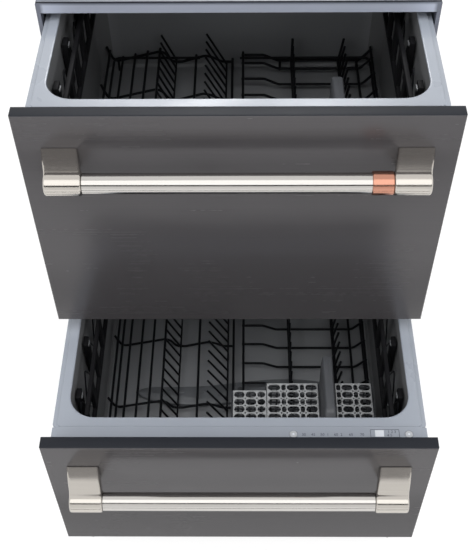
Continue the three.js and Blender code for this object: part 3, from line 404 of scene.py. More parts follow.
# %% Brushed streaks
brushing, given, result = effect(
    "brushing", [("Stretch", "NodeSocketVector", (4, 1200, 1200))], ["Streaks", "Bands"])
coords = add(brushing, "ShaderNodeTexCoord")
stretched = add(brushing, "ShaderNodeVectorMath",
                {0: coords.outputs["Object"], 1: given.outputs[0]}, operation="MULTIPLY")
fine = add(brushing, "ShaderNodeTexNoise",
           {"Vector": stretched.outputs[0], "Scale": 1, "Detail": 3})
tenth = add(brushing, "ShaderNodeVectorMath", {0: stretched.outputs[0], "Scale": 0.12},
            operation="SCALE")
wide = add(brushing, "ShaderNodeTexNoise", {"Vector": tenth.outputs[0], "Scale": 1, "Detail": 2})
brushing.links.new(fine.outputs["Fac"], result.inputs["Streaks"])
brushing.links.new(wide.outputs["Fac"], result.inputs["Bands"])
print("brushing:", len(brushing.nodes), "nodes")

# %% Uneven sheen
uneven, given, result = effect("uneven", [("Scale", "NodeSocketFloat", 9.0)], ["Patches"])
coords = add(uneven, "ShaderNodeTexCoord")
patches = add(uneven, "ShaderNodeTexNoise",
              {"Vector": coords.outputs["Object"], "Scale": given.outputs[0], "Detail": 4,
               "Roughness": 0.6})
uneven.links.new(patches.outputs["Fac"], result.inputs["Patches"])
print("uneven:", len(uneven.nodes), "nodes")

# %% Moulded grain
grain, given, result = effect("moulded_grain", [("Scale", "NodeSocketFloat", 1600.0)], ["Grain"])
coords = add(grain, "ShaderNodeTexCoord")
cells = add(grain, "ShaderNodeTexVoronoi",
            {"Vector": coords.outputs["Object"], "Scale": given.outputs[0]}, feature="SMOOTH_F1")
rough = add(grain, "ShaderNodeTexNoise",
            {"Vector": coords.outputs["Object"], "Scale": given.outputs[0], "Detail": 2})
both = add(grain, "ShaderNodeMath", {0: cells.outputs["Distance"], 1: rough.outputs["Fac"]},
           operation="ADD")
grain.links.new(both.outputs[0], result.inputs["Grain"])
print("moulded grain:", len(grain.nodes), "nodes")

# %% Settled dust
dust, given, result = effect("dust", [("Amount", "NodeSocketFloat", 0.2)], ["Dust"])
coords = add(dust, "ShaderNodeTexCoord")
facing = add(dust, "ShaderNodeNewGeometry")
split = add(dust, "ShaderNodeSeparateXYZ", {0: facing.outputs["Normal"]})
upward = add(dust, "ShaderNodeMapRange", {"Value": split.outputs["Z"], "From Min": 0.5,
                                          "From Max": 1.0})
motes = add(dust, "ShaderNodeTexNoise",
            {"Vector": coords.outputs["Object"], "Scale": 60.0, "Detail": 6, "Roughness": 0.75})
shown = add(dust, "ShaderNodeMapRange", {"Value": motes.outputs["Fac"], "From Min": 0.4,
                                         "From Max": 0.8})
layer = add(dust, "ShaderNodeMath", {0: upward.outputs["Result"], 1: shown.outputs["Result"]},
            operation="MULTIPLY")
amount = add(dust, "ShaderNodeMath", {0: layer.outputs[0], 1: given.outputs[0]},
             operation="MULTIPLY")
dust.links.new(amount.outputs[0], result.inputs["Dust"])
print("dust:", len(dust.nodes), "nodes")

# %% [markdown]
# ### Steel, plastic and coated wire
# Three recipes make most of the finishes. Brushed steel varies in roughness along its streaks
# and has a shallow bump across them. Moulded plastic has a fine grain, an uneven sheen and a
# little dust. The nylon coat of the wire is smoother and pools slightly.


# %% Recipes
def new_material(name, colour, roughness, metallic=0.0):
    material = bpy.data.materials.new(name)
    material.use_nodes = True
    tree = material.node_tree
    shader = tree.nodes["Principled BSDF"]
    shader.inputs["Metallic"].default_value = metallic
    shader.inputs["Base Color"].default_value = colour
    shader.inputs["Roughness"].default_value = roughness
    material.diffuse_color = colour
    return material, tree, shader


def ranged(tree, value, low, high, bottom=0.3, top=0.7):
    """A value from a texture, spread from low to high."""
    return add(tree, "ShaderNodeMapRange", {"Value": value, "From Min": bottom, "From Max": top,
                                            "To Min": low, "To Max": high}).outputs["Result"]


def blended(tree, amount, dark, light):
    made = add(tree, "ShaderNodeMix", data_type="RGBA")
    tree.links.new(amount, made.inputs[0])
    for socket, value in ((6, dark), (7, light)):
        if isinstance(value, bpy.types.NodeSocket):
            tree.links.new(value, made.inputs[socket])
        else:
            made.inputs[socket].default_value = value
    return made.outputs[2]


def shade(colour, factor):
    return (*(min(1, c * factor) for c in colour[:3]), 1)


def bump(tree, shader, height, strength, depth):
    made = add(tree, "ShaderNodeBump", {"Height": height, "Strength": strength, "Distance": depth})
    tree.links.new(made.outputs["Normal"], shader.inputs["Normal"])


def brushed_steel(name, colour, roughness=0.32, stretch=(4, 1200, 1200), spread=0.06,
                  metallic=1.0):
    material, tree, shader = new_material(name, colour, roughness, metallic)
    streak = add(tree, "ShaderNodeGroup", node_tree=brushing)
    streak.inputs["Stretch"].default_value = stretch
    sheen = add(tree, "ShaderNodeGroup", node_tree=uneven)
    lines = ranged(tree, streak.outputs["Streaks"], 0.0, 1.0)
    tone = blended(tree, lines, shade(colour, 0.93), shade(colour, 1.07))
    slow = ranged(tree, sheen.outputs["Patches"], 0.0, 1.0)
    tone = blended(tree, slow, tone, shade(colour, 1.03))
    tree.links.new(tone, shader.inputs["Base Color"])
    across = ranged(tree, streak.outputs["Bands"], roughness - spread, roughness + spread)
    gloss = add(tree, "ShaderNodeMath", {0: across, 1: ranged(tree, sheen.outputs["Patches"],
                                                              -0.03, 0.05)}, operation="ADD")
    tree.links.new(gloss.outputs[0], shader.inputs["Roughness"])
    bump(tree, shader, streak.outputs["Streaks"], 0.25, 0.00004)
    return material


def moulded_plastic(name, colour, roughness=0.45, scale=1600.0, depth=0.00003, dusty=0.12):
    material, tree, shader = new_material(name, colour, roughness)
    sheen = add(tree, "ShaderNodeGroup", node_tree=uneven)
    texture = add(tree, "ShaderNodeGroup", node_tree=grain)
    texture.inputs["Scale"].default_value = scale
    settled = add(tree, "ShaderNodeGroup", node_tree=dust)
    settled.inputs["Amount"].default_value = dusty
    slow = ranged(tree, sheen.outputs["Patches"], 0.0, 1.0)
    tone = blended(tree, slow, shade(colour, 0.975), shade(colour, 1.025))
    tone = blended(tree, settled.outputs["Dust"], tone, paint(168, 166, 160))
    tree.links.new(tone, shader.inputs["Base Color"])
    tree.links.new(ranged(tree, sheen.outputs["Patches"], roughness - 0.05, roughness + 0.08),
                   shader.inputs["Roughness"])
    bump(tree, shader, texture.outputs["Grain"], 0.35, depth)
    return material


def coated_wire(name, colour, roughness=0.3):
    material, tree, shader = new_material(name, colour, roughness)
    sheen = add(tree, "ShaderNodeGroup", node_tree=uneven)
    sheen.inputs["Scale"].default_value = 45.0
    slow = ranged(tree, sheen.outputs["Patches"], 0.0, 1.0)
    tone = blended(tree, slow, shade(colour, 0.85), shade(colour, 1.2))
    tree.links.new(tone, shader.inputs["Base Color"])
    tree.links.new(ranged(tree, sheen.outputs["Patches"], roughness - 0.06, roughness + 0.1),
                   shader.inputs["Roughness"])
    bump(tree, shader, sheen.outputs["Patches"], 0.3, 0.0002)
    return material


print("recipes ready")

# %% [markdown]
# ### The finishes themselves
# The slate steel is a dark, warm grey that turns lighter where it faces the bright floor. The
# rim and control strip are pale blue grey plastic, the tub is dark grey, and the racks are
# nearly black. The darkest finishes reflect little, so that a bright studio leaves them dark.

# %% Finishes
slate = brushed_steel("slate_steel", paint(76, 74, 76), 0.23, (3, 1500, 1500), 0.03, 0.3)
# slate_edge also colours the dark strip that paints shade on the top bar's edge.
slate_edge = brushed_steel("slate_edge", paint(40, 42, 47), 0.4, (3, 1500, 1500), 0.03, 0.0)
frame_slate = brushed_steel("frame_steel", paint(168, 174, 189), 0.34, (3, 1500, 1500), 0.04, 0.2)
satin = brushed_steel("satin_steel", paint(196, 193, 189), 0.12, (6, 1500, 1500), 0.02)
post_satin = brushed_steel("post_satin", paint(196, 191, 184), 0.16, (6, 1200, 1200), 0.02)
copper = brushed_steel("copper_band", paint(196, 142, 121), 0.15, (6, 1500, 1500), 0.03)
runner_zinc = brushed_steel("runner_zinc", paint(178, 182, 186), 0.3, (900, 4, 900), 0.08)
rim_grey = moulded_plastic("rim_grey", paint(152, 158, 168), 0.3, 1800.0, 0.00001, 0.0)
tub_grey = moulded_plastic("tub_grey", paint(142, 144, 147), 0.38, 1500.0, 0.00003, 0.05)
# A darker copy of the tub's finish: painted shade for the side walls.
wall_shade_grey = moulded_plastic("wall_shade_grey", paint(118, 119, 121), 0.38, 1500.0, 0.00003, 0.0)
button_grey = moulded_plastic("button_grey", paint(186, 189, 194), 0.35, 1800.0, 0.00002, 0.04)
lid_grey = moulded_plastic("lid_grey", paint(120, 123, 128), 0.45)
arm_grey = moulded_plastic("arm_grey", paint(100, 103, 107), 0.45)
motor_grey = moulded_plastic("motor_grey", paint(60, 62, 66), 0.5)
black = moulded_plastic("black_plastic", paint(26, 27, 29), 0.5, 1400.0, 0.00004, 0.2)
rack_nylon = coated_wire("rack_nylon", paint(24, 25, 28), 0.34)
cup_black = moulded_plastic("cup_rack_black", paint(20, 20, 22), 0.55, 1600.0, 0.00003, 0.0)
basket_grey = moulded_plastic("basket_grey", paint(84, 86, 90), 0.42, 1600.0, 0.00003, 0.0)
basket_lid_grey = moulded_plastic("basket_lid_grey", paint(172, 174, 176), 0.42)
clip_white = moulded_plastic("clip_white", paint(104, 106, 109), 0.35, 1600.0, 0.00002, 0.05)
mark_grey = moulded_plastic("mark_grey", paint(58, 62, 72), 0.5, 1600.0, 0.00001, 0.0)
light_dot = moulded_plastic("light_dot", paint(222, 226, 232), 0.3, 1600.0, 0.00001, 0.0)
for dull in (slate_edge, cup_black, rack_nylon):
    dull.node_tree.nodes["Principled BSDF"].inputs["Specular IOR Level"].default_value = 0.08
print(len(bpy.data.materials), "materials")

# %% [markdown]
# ### Painted shade on the folds of the front frame
# The frame's sheet turns away from the light along its top edge and at its two outer edges.
# Both show darker in the photograph, and that shade is painted: the frame's colour is blended
# to darker tones by height and by the distance from the middle, in metres.

# %% Painted shade on the frame folds
TOP_FOLD_SHADE, SIDE_FOLD_SHADE = (0.8135, 0.8180), (0.2880, 0.2935)
tree = frame_slate.node_tree
shader = tree.nodes["Principled BSDF"]
tone = shader.inputs["Base Color"].links[0].from_socket
coords = add(tree, "ShaderNodeTexCoord")
split = add(tree, "ShaderNodeSeparateXYZ", {0: coords.outputs["Object"]})
# Painted shade: darker towards the top fold.
fold_shade = ranged(tree, split.outputs["Z"], 0.0, 1.0, *TOP_FOLD_SHADE)
tone = blended(tree, fold_shade, tone, paint(88, 92, 104))
# Painted shade: darker towards the two outer edges.
aside = add(tree, "ShaderNodeMath", {0: split.outputs["X"]}, operation="ABSOLUTE")
fold_shade = ranged(tree, aside.outputs[0], 0.0, 1.0, *SIDE_FOLD_SHADE)
tree.links.new(blended(tree, fold_shade, tone, paint(104, 108, 120)), shader.inputs["Base Color"])
print("frame folds:", len(tree.nodes), "nodes")

# %% [markdown]
# ### Zinc coated sheet
# The cabinet behind the front is plain galvanised steel. Zinc freezes in flakes, called
# spangle, that differ in tone and catch the light at different angles.

# %% Galvanised sheet
galvanised, tree, shader = new_material("galvanised_sheet", paint(150, 154, 158), 0.5, 0.3)
coords = add(tree, "ShaderNodeTexCoord")
warp = add(tree, "ShaderNodeTexNoise", {"Vector": coords.outputs["Object"], "Scale": 90.0})
warped = add(tree, "ShaderNodeVectorMath", {0: warp.outputs["Color"], 1: (0.008, 0.008, 0.008),
                                            2: coords.outputs["Object"]},
             operation="MULTIPLY_ADD")
flakes = add(tree, "ShaderNodeTexVoronoi", {"Vector": warped.outputs[0], "Scale": 130.0})
flake = add(tree, "ShaderNodeSeparateColor", {0: flakes.outputs["Color"]})
tone = blended(tree, flake.outputs[0], paint(136, 140, 145), paint(150, 154, 158))
sheen = add(tree, "ShaderNodeGroup", node_tree=uneven)
sheen.inputs["Scale"].default_value = 5.0
tone = blended(tree, ranged(tree, sheen.outputs["Patches"], 0.0, 0.35), tone, paint(126, 128, 130))
tree.links.new(tone, shader.inputs["Base Color"])
tree.links.new(ranged(tree, flake.outputs[1], 0.5, 0.6, 0.0, 1.0), shader.inputs["Roughness"])
bump(tree, shader, flakes.outputs["Distance"], 0.1, 0.0002)
print("galvanised sheet:", len(tree.nodes), "nodes")

# %% [markdown]
# ## What stays from the CAD
# The sheets, runners, frames and feet already have the right shape, so they keep their CAD
# nodes and only get a finish.

# %% Finishes of the CAD nodes
kept = {
    galvanised: ["cabinet_side_left", "cabinet_side_right", "cabinet_top", "cabinet_back",
                 "base_tray", "runner_wall_left", "runner_wall_right"],
    frame_slate: ["front_frame"],
    runner_zinc: ["top_drawer_frame", "lower_drawer_frame", "top_middle_runner_left",
                  "top_middle_runner_right", "lower_middle_runner_left",
                  "lower_middle_runner_right"],
    lid_grey: ["top_tub_lid", "lower_tub_lid"],
    motor_grey: ["top_wash_motor", "lower_wash_motor"],
    black: ["foot_front_left", "foot_front_right", "foot_rear_left", "foot_rear_right",
            "toe_kick"],
}
for material, names in kept.items():
    for name in names:
        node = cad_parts[name]
        node.data.materials.clear()
        node.data.materials.append(material)
print(sum(len(names) for names in kept.values()), "CAD nodes finished")

# %% [markdown]
# ### Painted shade on the top bar's edge
# The top bar's front edge is folded, and where the fold turns from the light it shows as a thin
# dark line. That shade is painted: a dark strip with soft edges lies on the bar's edge, its ends
# drawn in to the bar's round corners.

# %% Painted shade strip on the top bar's edge
# A dark strip that paints the shade along the bar's folded edge.
edge = block("top_bar_painted_shade", (-298, 298), (-0.3, 1.3), (818.6, 820.1))
soften(edge, 0.4, 2)
dress(edge, "cabinet", "frame_steel", slate_edge)
print(edge.name, [round(v, 4) for v in edge.dimensions])

# %% [markdown]
# ## Front panels
# The panel is one steel sheet folded round its four edges, open at the back. A block gets
# round front edges, its back face is inset by the width of the fold, and that face is pushed
# in to leave the hollow. The hollow's top edge stays lower, where the frame closes the back.


# %% Front panels
def front_panel(word, bottom):
    panel = block(word + "_door_skin", (-298.5, 298.5), (-23, -3), (bottom, 30))
    pick_edges(panel, lambda a, b: a.y < -22 and b.y < -22)
    bpy.ops.mesh.bevel(offset=2.2 * MM, segments=4, affect="EDGES")
    finish_edit()
    pick_edges(panel, lambda a, b: a.y > -4 and b.y > -4)
    bpy.ops.mesh.bevel(offset=1.0 * MM, segments=2, affect="EDGES")
    finish_edit()
    pick_faces(panel, lambda c, n: n.y > 0.99)
    bpy.ops.mesh.inset(thickness=15 * MM, depth=0)
    mesh = bmesh.from_edit_mesh(panel.data)
    top = max(v.co.z for v in mesh.verts if v.select)
    for vertex in mesh.verts:
        if vertex.select and vertex.co.z > top - MM:
            vertex.co.z = -16 * MM
    bmesh.update_edit_mesh(panel.data)
    bpy.ops.mesh.extrude_region_move(TRANSFORM_OT_translate={"value": (0, -18.8 * MM, 0)})
    finish_edit()
    smooth(panel, 30)
    move(panel, places[word])
    for finish in (slate, slate_edge):
        panel.data.materials.append(finish)
    for face in panel.data.polygons:
        face.material_index = 1 if face.normal.z > 0.6 else 0
    return dress(panel, word + "_drawer", "slate_steel", None, word + "_front_panel")


for word, bottom in panel_bottoms.items():
    panel = front_panel(word, bottom)
    print(panel.name, [round(v, 3) for v in panel.dimensions])

# %% [markdown]
# ## Handles
# Each handle is a satin steel bar in two cast end pieces. A casting has no sharp inside
# corners, so the foot that is pulled to the bar and the round cap are joined, remeshed into one
# skin and smoothed, which leaves a soft fillet where they meet.

# %% Handle
BAR_Y, BAR_Z, BAR_RADIUS, CAP_RADIUS = -72.5, -43, 14, 16.5


def end_casting(side):
    steps = ((0.0, 0.0), (0.2, 0.2), (0.5, 0.5), (0.8, 0.85), (1.0, 1.0))
    rings = []
    for along, taper in steps:
        inner, outer = 215.5 - 10 * taper, 265.5 - 10 * taper
        low = -62 + (62 - 43 - CAP_RADIUS + 0.4) * taper
        high = -24 + (24 - 43 + CAP_RADIUS - 0.4) * taper
        x = (inner, outer) if side > 0 else (-outer, -inner)
        y = -23.3 + (BAR_Y + 23.3) * along
        flat = rounded(x, (low, high), 3.0, 0, 4)
        rings.append([Vector((p.x, y, p.y)) for p in flat])
    foot = pull("foot", rings)
    cap = cylinder("cap", "x", CAP_RADIUS, (205.5 * side, 255.5 * side), (BAR_Y, BAR_Z), 72)
    soften(cap, 3.0, 4)
    casting = join("handle_casting_right" if side > 0 else "handle_casting_left", foot, cap)
    modify(casting, "REMESH", mode="VOXEL", voxel_size=0.9 * MM, use_smooth_shade=True)
    modify(casting, "SMOOTH", factor=0.5, iterations=5)
    return casting


for side, word in ((-1, "left"), (1, "right")):
    castings = to_drawers(end_casting(side), "drawer", "satin_steel", post_satin,
                          ["handle_post_" + word])
    print(castings["top"].name, len(castings["top"].data.polygons), "faces")

bar = cylinder("handle_tube", "x", BAR_RADIUS, (-205.2, 205.2), (BAR_Y, BAR_Z), 96)
soften(bar, 0.6, 2)
bars = to_drawers(bar, "drawer", "satin_steel", satin, ["handle_bar"])
print(bars["top"].name, len(bar.data.polygons), "faces")

# %% [markdown]
# ### Copper band
# The top handle has a copper coloured sleeve at its right end. It is a short ring, a little
# thicker than the bar, with a rounded edge on each side. It stays bare.

# %% Copper band
band = cylinder("top_handle_band", "x", BAR_RADIUS + 2.1, (177.5, 205.1), (BAR_Y, BAR_Z), 96)
soften(band, 0.7, 3)
move(band, places["top"])
dress(band, "top_drawer", "satin_steel", copper)
print(band.name, [round(v, 4) for v in band.dimensions])

# %% [markdown]
# ## Tubs
# The tub is one moulding: thin walls that lean in a little, a round floor edge, a rim with a
# raised step, and a soft edge round the opening. It is pulled from ring to ring, from the
# outside of the floor up over the rim and down to the inside of the floor.

# %% Tub
FLOOR = (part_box("top_tub")[0].z / MM - places["top"].z) + 2.5
TUB_RINGS = (
    (262, (56.5, 513.5), 40, FLOOR - 2.5),
    (266, (52.5, 517.5), 43, FLOOR + 2),
    (271, (47.5, 522.5), 42, -4),
    (279.5, (37.3, 532), 6, -4),
    (279.5, (37.3, 532), 6, -7),
    (290.6, (33.3, 536), 6, -7),
    (291, (33.3, 536), 6, -6.4),
    (291, (33.3, 536), 6, -3.6),
    (290.4, (33.3, 536), 6, -3),
    (284, (33.3, 536), 6, -3),
    (283.5, (33.3, 536), 6, -2.4),
    (283.5, (33.3, 536), 6, -0.6),
    (282.9, (33.3, 535.4), 6, 0),
    (270.5, (48, 522), 42, 0),
    (269.2, (49.3, 520.7), 42, -0.4),
    (268.5, (50, 520), 42, -1.6),
    (264.4, (54.1, 515.9), 42, FLOOR + 14),
    (262.6, (55.9, 514.1), 41, FLOOR + 5),
    (257.5, (61, 509), 38, FLOOR + 1),
    (251, (67.5, 502.5), 34, FLOOR),
)
tub = pull("tub_moulding", [rounded((-half, half), y, radius, z, 10)
                            for half, y, radius, z in TUB_RINGS])
smooth(tub, 12)
modify(tub, "WEIGHTED_NORMAL", keep_sharp=True)
print("tub floor at", round(FLOOR, 1), "mm from the rim,", len(tub.data.polygons), "faces")

# %% [markdown]
# ### Two colours of the tub, and painted shade on its side walls
# The rim is pale and the inside is dark, so the faces near the top of the mesh get the rim's
# finish and the others the tub's. The side walls behind the cup racks get a darker copy of the
# tub's finish, as painted shade.

# %% Tub finishes
for finish in (tub_grey, rim_grey, wall_shade_grey):
    tub.data.materials.append(finish)
for face in tub.data.polygons:
    if face.center.z > -8 * MM:
        face.material_index = 1
    # Faces of the side walls get the darker copy: painted shade.
    elif abs(face.normal.x) > 0.5:
        face.material_index = 2
print(sum(face.material_index == 1 for face in tub.data.polygons), "rim faces")

# %% [markdown]
# ### Dispenser and rack arms
# The detergent dispenser is a box with a shallow well on the front wall of the tub, and four
# small arms on the side walls carry the cup racks. They are blocks with rounded edges, the well
# made by an inset and a push inwards, joined to the tub's mesh.

# %% Dispenser and arms
dispenser = block("dispenser", (-150, -70), (50.5, 69), (-150, -60))
pick_faces(dispenser, lambda c, n: n.y > 0.9)
bpy.ops.mesh.inset(thickness=8 * MM, depth=0)
bpy.ops.mesh.extrude_region_move(TRANSFORM_OT_translate={"value": (0, -12 * MM, 0)})
finish_edit()
soften(dispenser, 1.5, 3)
arms = []
for side in (-1, 1):
    for y in (132, 452):
        x = (247.5, 267.5) if side > 0 else (-267.5, -247.5)
        arm = block("arm", x, (y, y + 6), (-101, -95))
        soften(arm, 1.0, 2)
        arms.append(arm)
for piece in (dispenser, *arms):
    piece.data.materials.append(tub_grey)
print("dispenser and", len(arms), "arms")

# %% [markdown]
# ### Brackets and loops on the side walls
# Black brackets with pale clips hold the cup racks to the wall, and thin wire is bent into
# loops between them. A bracket is a block with soft edges and a pale clip on it.

# %% Wall brackets
fittings = []
for side in (-1, 1):
    for y in (100, 205, 330, 440):
        x = sorted((side * 257, side * 265.5))
        bracket = block("bracket", x, (y, y + 20), (-104, -24))
        soften(bracket, 1.5, 2)
        bracket.data.materials.append(cup_black)
        x = sorted((side * 255, side * 258))
        clip = block("clip", x, (y + 4, y + 16), (-33, -29))
        soften(clip, 0.8, 2)
        clip.data.materials.append(clip_white)
        fittings += [bracket, clip]
    x = side * 258
    zigzag = [(x, 70 + 30 * i, -32 if i % 2 else -92) for i in range(15)]
    loops = wires("loops", [zigzag], 1.3, 6)
    loops.data.materials.append(rack_nylon)
    fittings.append(loops)
tub = join("tub_moulding", tub, dispenser, *arms, *fittings)
tubs = to_drawers(tub, "drawer", "tub_plastic", None, ["tub"])
print({word: len(piece.data.polygons) for word, piece in tubs.items()})

# %% [markdown]
# ### Dispenser lids
# The lid is a flat plate over the well with a small catch. It turns on its own body.

# %% Dispenser lids
lid = block("dispenser_flap", (-146, -74), (69.3, 72.3), (-146, -64))
soften(lid, 1.0, 3)
catch = block("catch", (-118, -102), (71.8, 73.6), (-76, -70))
soften(catch, 0.8, 2)
lid = join("dispenser_flap", lid, catch)
to_drawers(lid, "dispenser_lid", "lid_plastic", lid_grey, ["dispenser_lid"])
print("dispenser lids placed")

# %% [markdown]
# ## Control strip
# Each drawer has a pale strip in front of the tub, level with its rim, that carries the
# buttons over the box of the electronics. The plate is pulled from rings as the rim is.

# %% Control strip
BUTTONS, BUTTON_Y = {"power": 84, "start": 262}, 19.3
STRIP_RINGS = ((279.5, -2.7, -7), (290.6, -2.7, -7), (291, -2.7, -6.4),
               (291, -2.7, -3.6), (290.4, -2.7, -3), (284, -2.7, -3),
               (283.5, -2.7, -2.4), (283.5, -2.7, -0.6), (282.9, -2.1, 0))
plate = pull("control_cover", [rounded((-half, half), (front, 33.0), 1.0, z)
                               for half, front, z in STRIP_RINGS])
box_under = block("electronics", (-272, 272), (0, 30.5), (-51, -6))
soften(box_under, 2.0, 3)
for x in BUTTONS.values():
    socket = cylinder("socket", "z", 6.5, (-9, 2), (x, BUTTON_Y), 48)
    carve(plate, socket)
smooth(plate, 30)
strip = join("control_cover", plate, box_under)
to_drawers(strip, "drawer", "grey_plastic", rim_grey, ["control_strip"])
print("control strips placed")

# %% [markdown]
# ### Marks on the strip
# Plain numbers stand between the buttons, and an outlined field with a pale window is beside
# the start button. The numbers are text objects with a hair of thickness, made a mesh.


# %% Marks
def number(words, x, y):
    deselect_all()
    bpy.ops.object.text_add(location=(x * MM, y * MM, 0.02 * MM))
    text = bpy.context.object
    text.data.body = words
    text.data.size = 6.4 * MM
    text.data.extrude = 0.06 * MM
    text.data.align_x = "CENTER"
    bpy.ops.object.convert(target="MESH")
    bpy.ops.object.transform_apply(location=True, rotation=True, scale=True)
    return bpy.context.object


marks = [number(words, x, 16.6) for words, x in (
    ("30", 100), ("45", 114.6), ("50  1", 132), ("60  2", 153), ("65", 172.6), ("70", 189.8))]
marks += [number(words, x, y) for words, x, y in (("1 2 3", 236, 21.6), ("4 5", 232, 15.4))]
field = [(203, 14.0), (247, 14.0), (247, 27.5), (203, 27.5)]
outline = wires("outline", [[(x, y, 0) for x, y in (*field, field[0])]], 0.35, 0.4)
marks = join("strip_marks", outline, *marks)
to_drawers(marks, "drawer", "grey_plastic", mark_grey)
window = block("strip_window", (209.8, 223.5), (15.0, 26.5), (-0.2, 0.35))
soften(window, 0.15, 2)
to_drawers(window, "drawer", "button_plastic", light_dot)
print("strip marks:", len(marks.data.polygons), "faces")

# %% [markdown]
# ### Buttons
# A button is a round cap with a shallow dish, pulled from circles, and a pale dot on it.

# %% Buttons
for word, x in BUTTONS.items():
    cap = pull("button", [
        [Vector((x + r * math.cos(a), BUTTON_Y + r * math.sin(a), z))
         for a in (math.radians(7.5 * i) for i in range(48))]
        for r, z in ((5.2, -6.5), (6.0, -6.4), (6.0, 0.2), (5.7, 0.7), (5.2, 0.8), (2.0, 0.45))])
    smooth(cap, 30)
    cap.data.materials.append(button_grey)
    dot = cylinder("dot", "z", 1.7, (0.3, 0.62), (x, BUTTON_Y), 24)
    dot.data.materials.append(light_dot)
    cap = join(word + "_push", cap, dot)
    to_drawers(cap, word + "_button", "button_plastic", None, [word + "_button"])
    print(word, "buttons placed")

# %% [markdown]
# ## Racks
# The left rack's cross wires run up at the outer edge, then dip under each axle of the
# folding tines. The right rack's step down from the middle. Long wires lie across them.

# %% Rack wires
RACK_Z = FLOOR + 22
WIRE = 4
LEFT_BENDS = [(-250, 32), (-241, 6), (-233, 0), (-150, 22), (-140, 17), (-129, -2), (-111, -2),
              (-65, 12), (-52, 8), (-34, -2), (-12, -2)]
RIGHT_BENDS = [(3, 13), (45, 13), (72, 0), (226, 0), (247, 26)]


def height_at(bends, x):
    for (x0, z0), (x1, z1) in zip(bends, bends[1:]):
        if x0 <= x <= x1:
            return z0 + (z1 - z0) * (x - x0) / (x1 - x0)
    return bends[-1][1]


def rack(name, bends, cross, longs, feet, hoop):
    lines = [[(x, y, z + RACK_Z) for x, z in bends] for y in (70, *cross, 500)]
    lines.append([(x, y, RACK_Z + 15) for x, y in hoop])
    for x in longs:
        z = RACK_Z + height_at(bends, x) + WIRE * 0.85
        lines.append([(x, 66, z), (x, 504, z)])
    for x in feet:
        for y in (70, 500):
            lines.append([(x, y, FLOOR + 0.3), (x, y, RACK_Z + height_at(bends, x))])
    return wires(name, lines, WIRE / 2 + 0.4, 14)


left = rack("rack_wires_left", LEFT_BENDS, (97, 242.5, 388),
            (-245, -222, -198, -174, -150, -82.5, -14), (-231, -14),
            [(-75, 489), (-236, 489), (-236, 68)])
to_drawers(left, "drawer", "rack_coat", rack_nylon, ["rack_left"])
right = rack("rack_wires_right", RIGHT_BENDS, [103 + 46.5 * i for i in range(9)],
             (6, 220, 245), (76, 222), [(0, 488), (243, 488), (243, 68)])
combs = []
for x in (98, 186):
    z = RACK_Z + 2.8
    tine = wires("tine", [[(x, 243.8, z), (x + (x - 98) / 12, 243.8, z + 48)]], 2.4)
    row(tine, 12, 23)
    rail = wires("rail", [[(x, 240, z), (x, 501, z)]], 3.4)
    combs += [tine, rail]
right = join("rack_wires_right", right, *combs)
to_drawers(right, "drawer", "rack_coat", rack_nylon, ["rack_right"])
print("racks:", len(left.data.polygons), len(right.data.polygons), "faces each")

# %% [markdown]
# ### Folding tines
# Two rows of tines stand on axles and fold. One tine is drawn, leaning, and an Array repeats it.

# %% Folding tines
AXLE_Z = RACK_Z + 3.05
for word, x, start, length, lean in (("outer", -120, 81.5, 62, 24), ("inner", -25, 93, 76, 28)):
    tilt = math.radians(lean)
    tip = (x - length * math.sin(tilt), AXLE_Z + length * math.cos(tilt))
    low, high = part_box("top_tines_" + word)
    count = round((high.y - low.y) / MM // 23) + 1
    y = start + 1.8
    tine = wires("tine", [[(x, y, AXLE_Z), (tip[0], y, tip[1])]], 2.1)
    row(tine, count, 23)
    axle = wires("axle", [[(x, start, AXLE_Z), (x, start + 23 * (count - 1) + 3.6, AXLE_Z)]], 1.8)
    tines = join("tine_wires_" + word, tine, axle)
    to_drawers(tines, "tines_" + word, "rack_coat", rack_nylon, ["tines_" + word])
    print(word, "tines:", count)

# %% [markdown]
# ## Cup racks
# A folding cup rack is a moulded comb against the side of the tub: a plate with windows and
# a toothed lower edge. One bay is modelled, with its window made by an inset, and repeated.

# %% Cup racks
BAY = (504 - 66) / 7


def cup_rack(side):
    x = (240, 247) if side > 0 else (-247, -240)
    bay = block("bay", x, (66, 66 + BAY), (-95, -20))
    pick_faces(bay, lambda c, n: abs(n.x) > 0.9)
    bpy.ops.mesh.inset(thickness=9 * MM, depth=0, use_individual=True)
    bpy.ops.mesh.bridge_edge_loops()
    finish_edit()
    row(bay, 7, BAY)
    pick_faces(bay, lambda c, n: abs(n.y) > 0.99 and 67 < c.y < 503 and
               abs((c.y - 66) / BAY - round((c.y - 66) / BAY)) < 0.01)
    bpy.ops.mesh.delete(type="FACE")
    finish_edit()
    outward(bay)
    lugs = []
    for y in (138.5, 458.5):
        lug = block("lug", (244, 253) if side > 0 else (-253, -244), (y, y + 9), (-101, -94))
        soften(lug, 1.2, 2)
        lugs.append(lug)
    teeth = []
    for i in range(7):
        y = 66 + BAY * i
        teeth.append([(x[0] + 3.5, y + 0.55 * BAY, -94), (x[0] + 3.5, y + 0.8 * BAY, -99),
                      (x[0] + 3.5, y + BAY, -94)])
    teeth = wires("teeth", teeth, 1.9, 2)
    soften(bay, 1.4, 2)
    return join("cup_comb_" + ("right" if side > 0 else "left"), bay, teeth, *lugs)


for side, word in ((-1, "left"), (1, "right")):
    comb = cup_rack(side)
    to_drawers(comb, "cup_rack_" + word, "rack_coat", cup_black, ["cup_rack_" + word])
    print("cup rack", word, len(comb.data.polygons), "faces")

# %% [markdown]
# ## Cutlery baskets
# The basket is moulded as an open lattice. Each wall is a grid whose squares are inset one by
# one and deleted, and a Solidify modifier gives the bars that are left their thickness.

# %% Basket
BASKET_BOTTOM = RACK_Z + 13 + 4 * 1.35 + 0.5
BASKET_TOP = -150


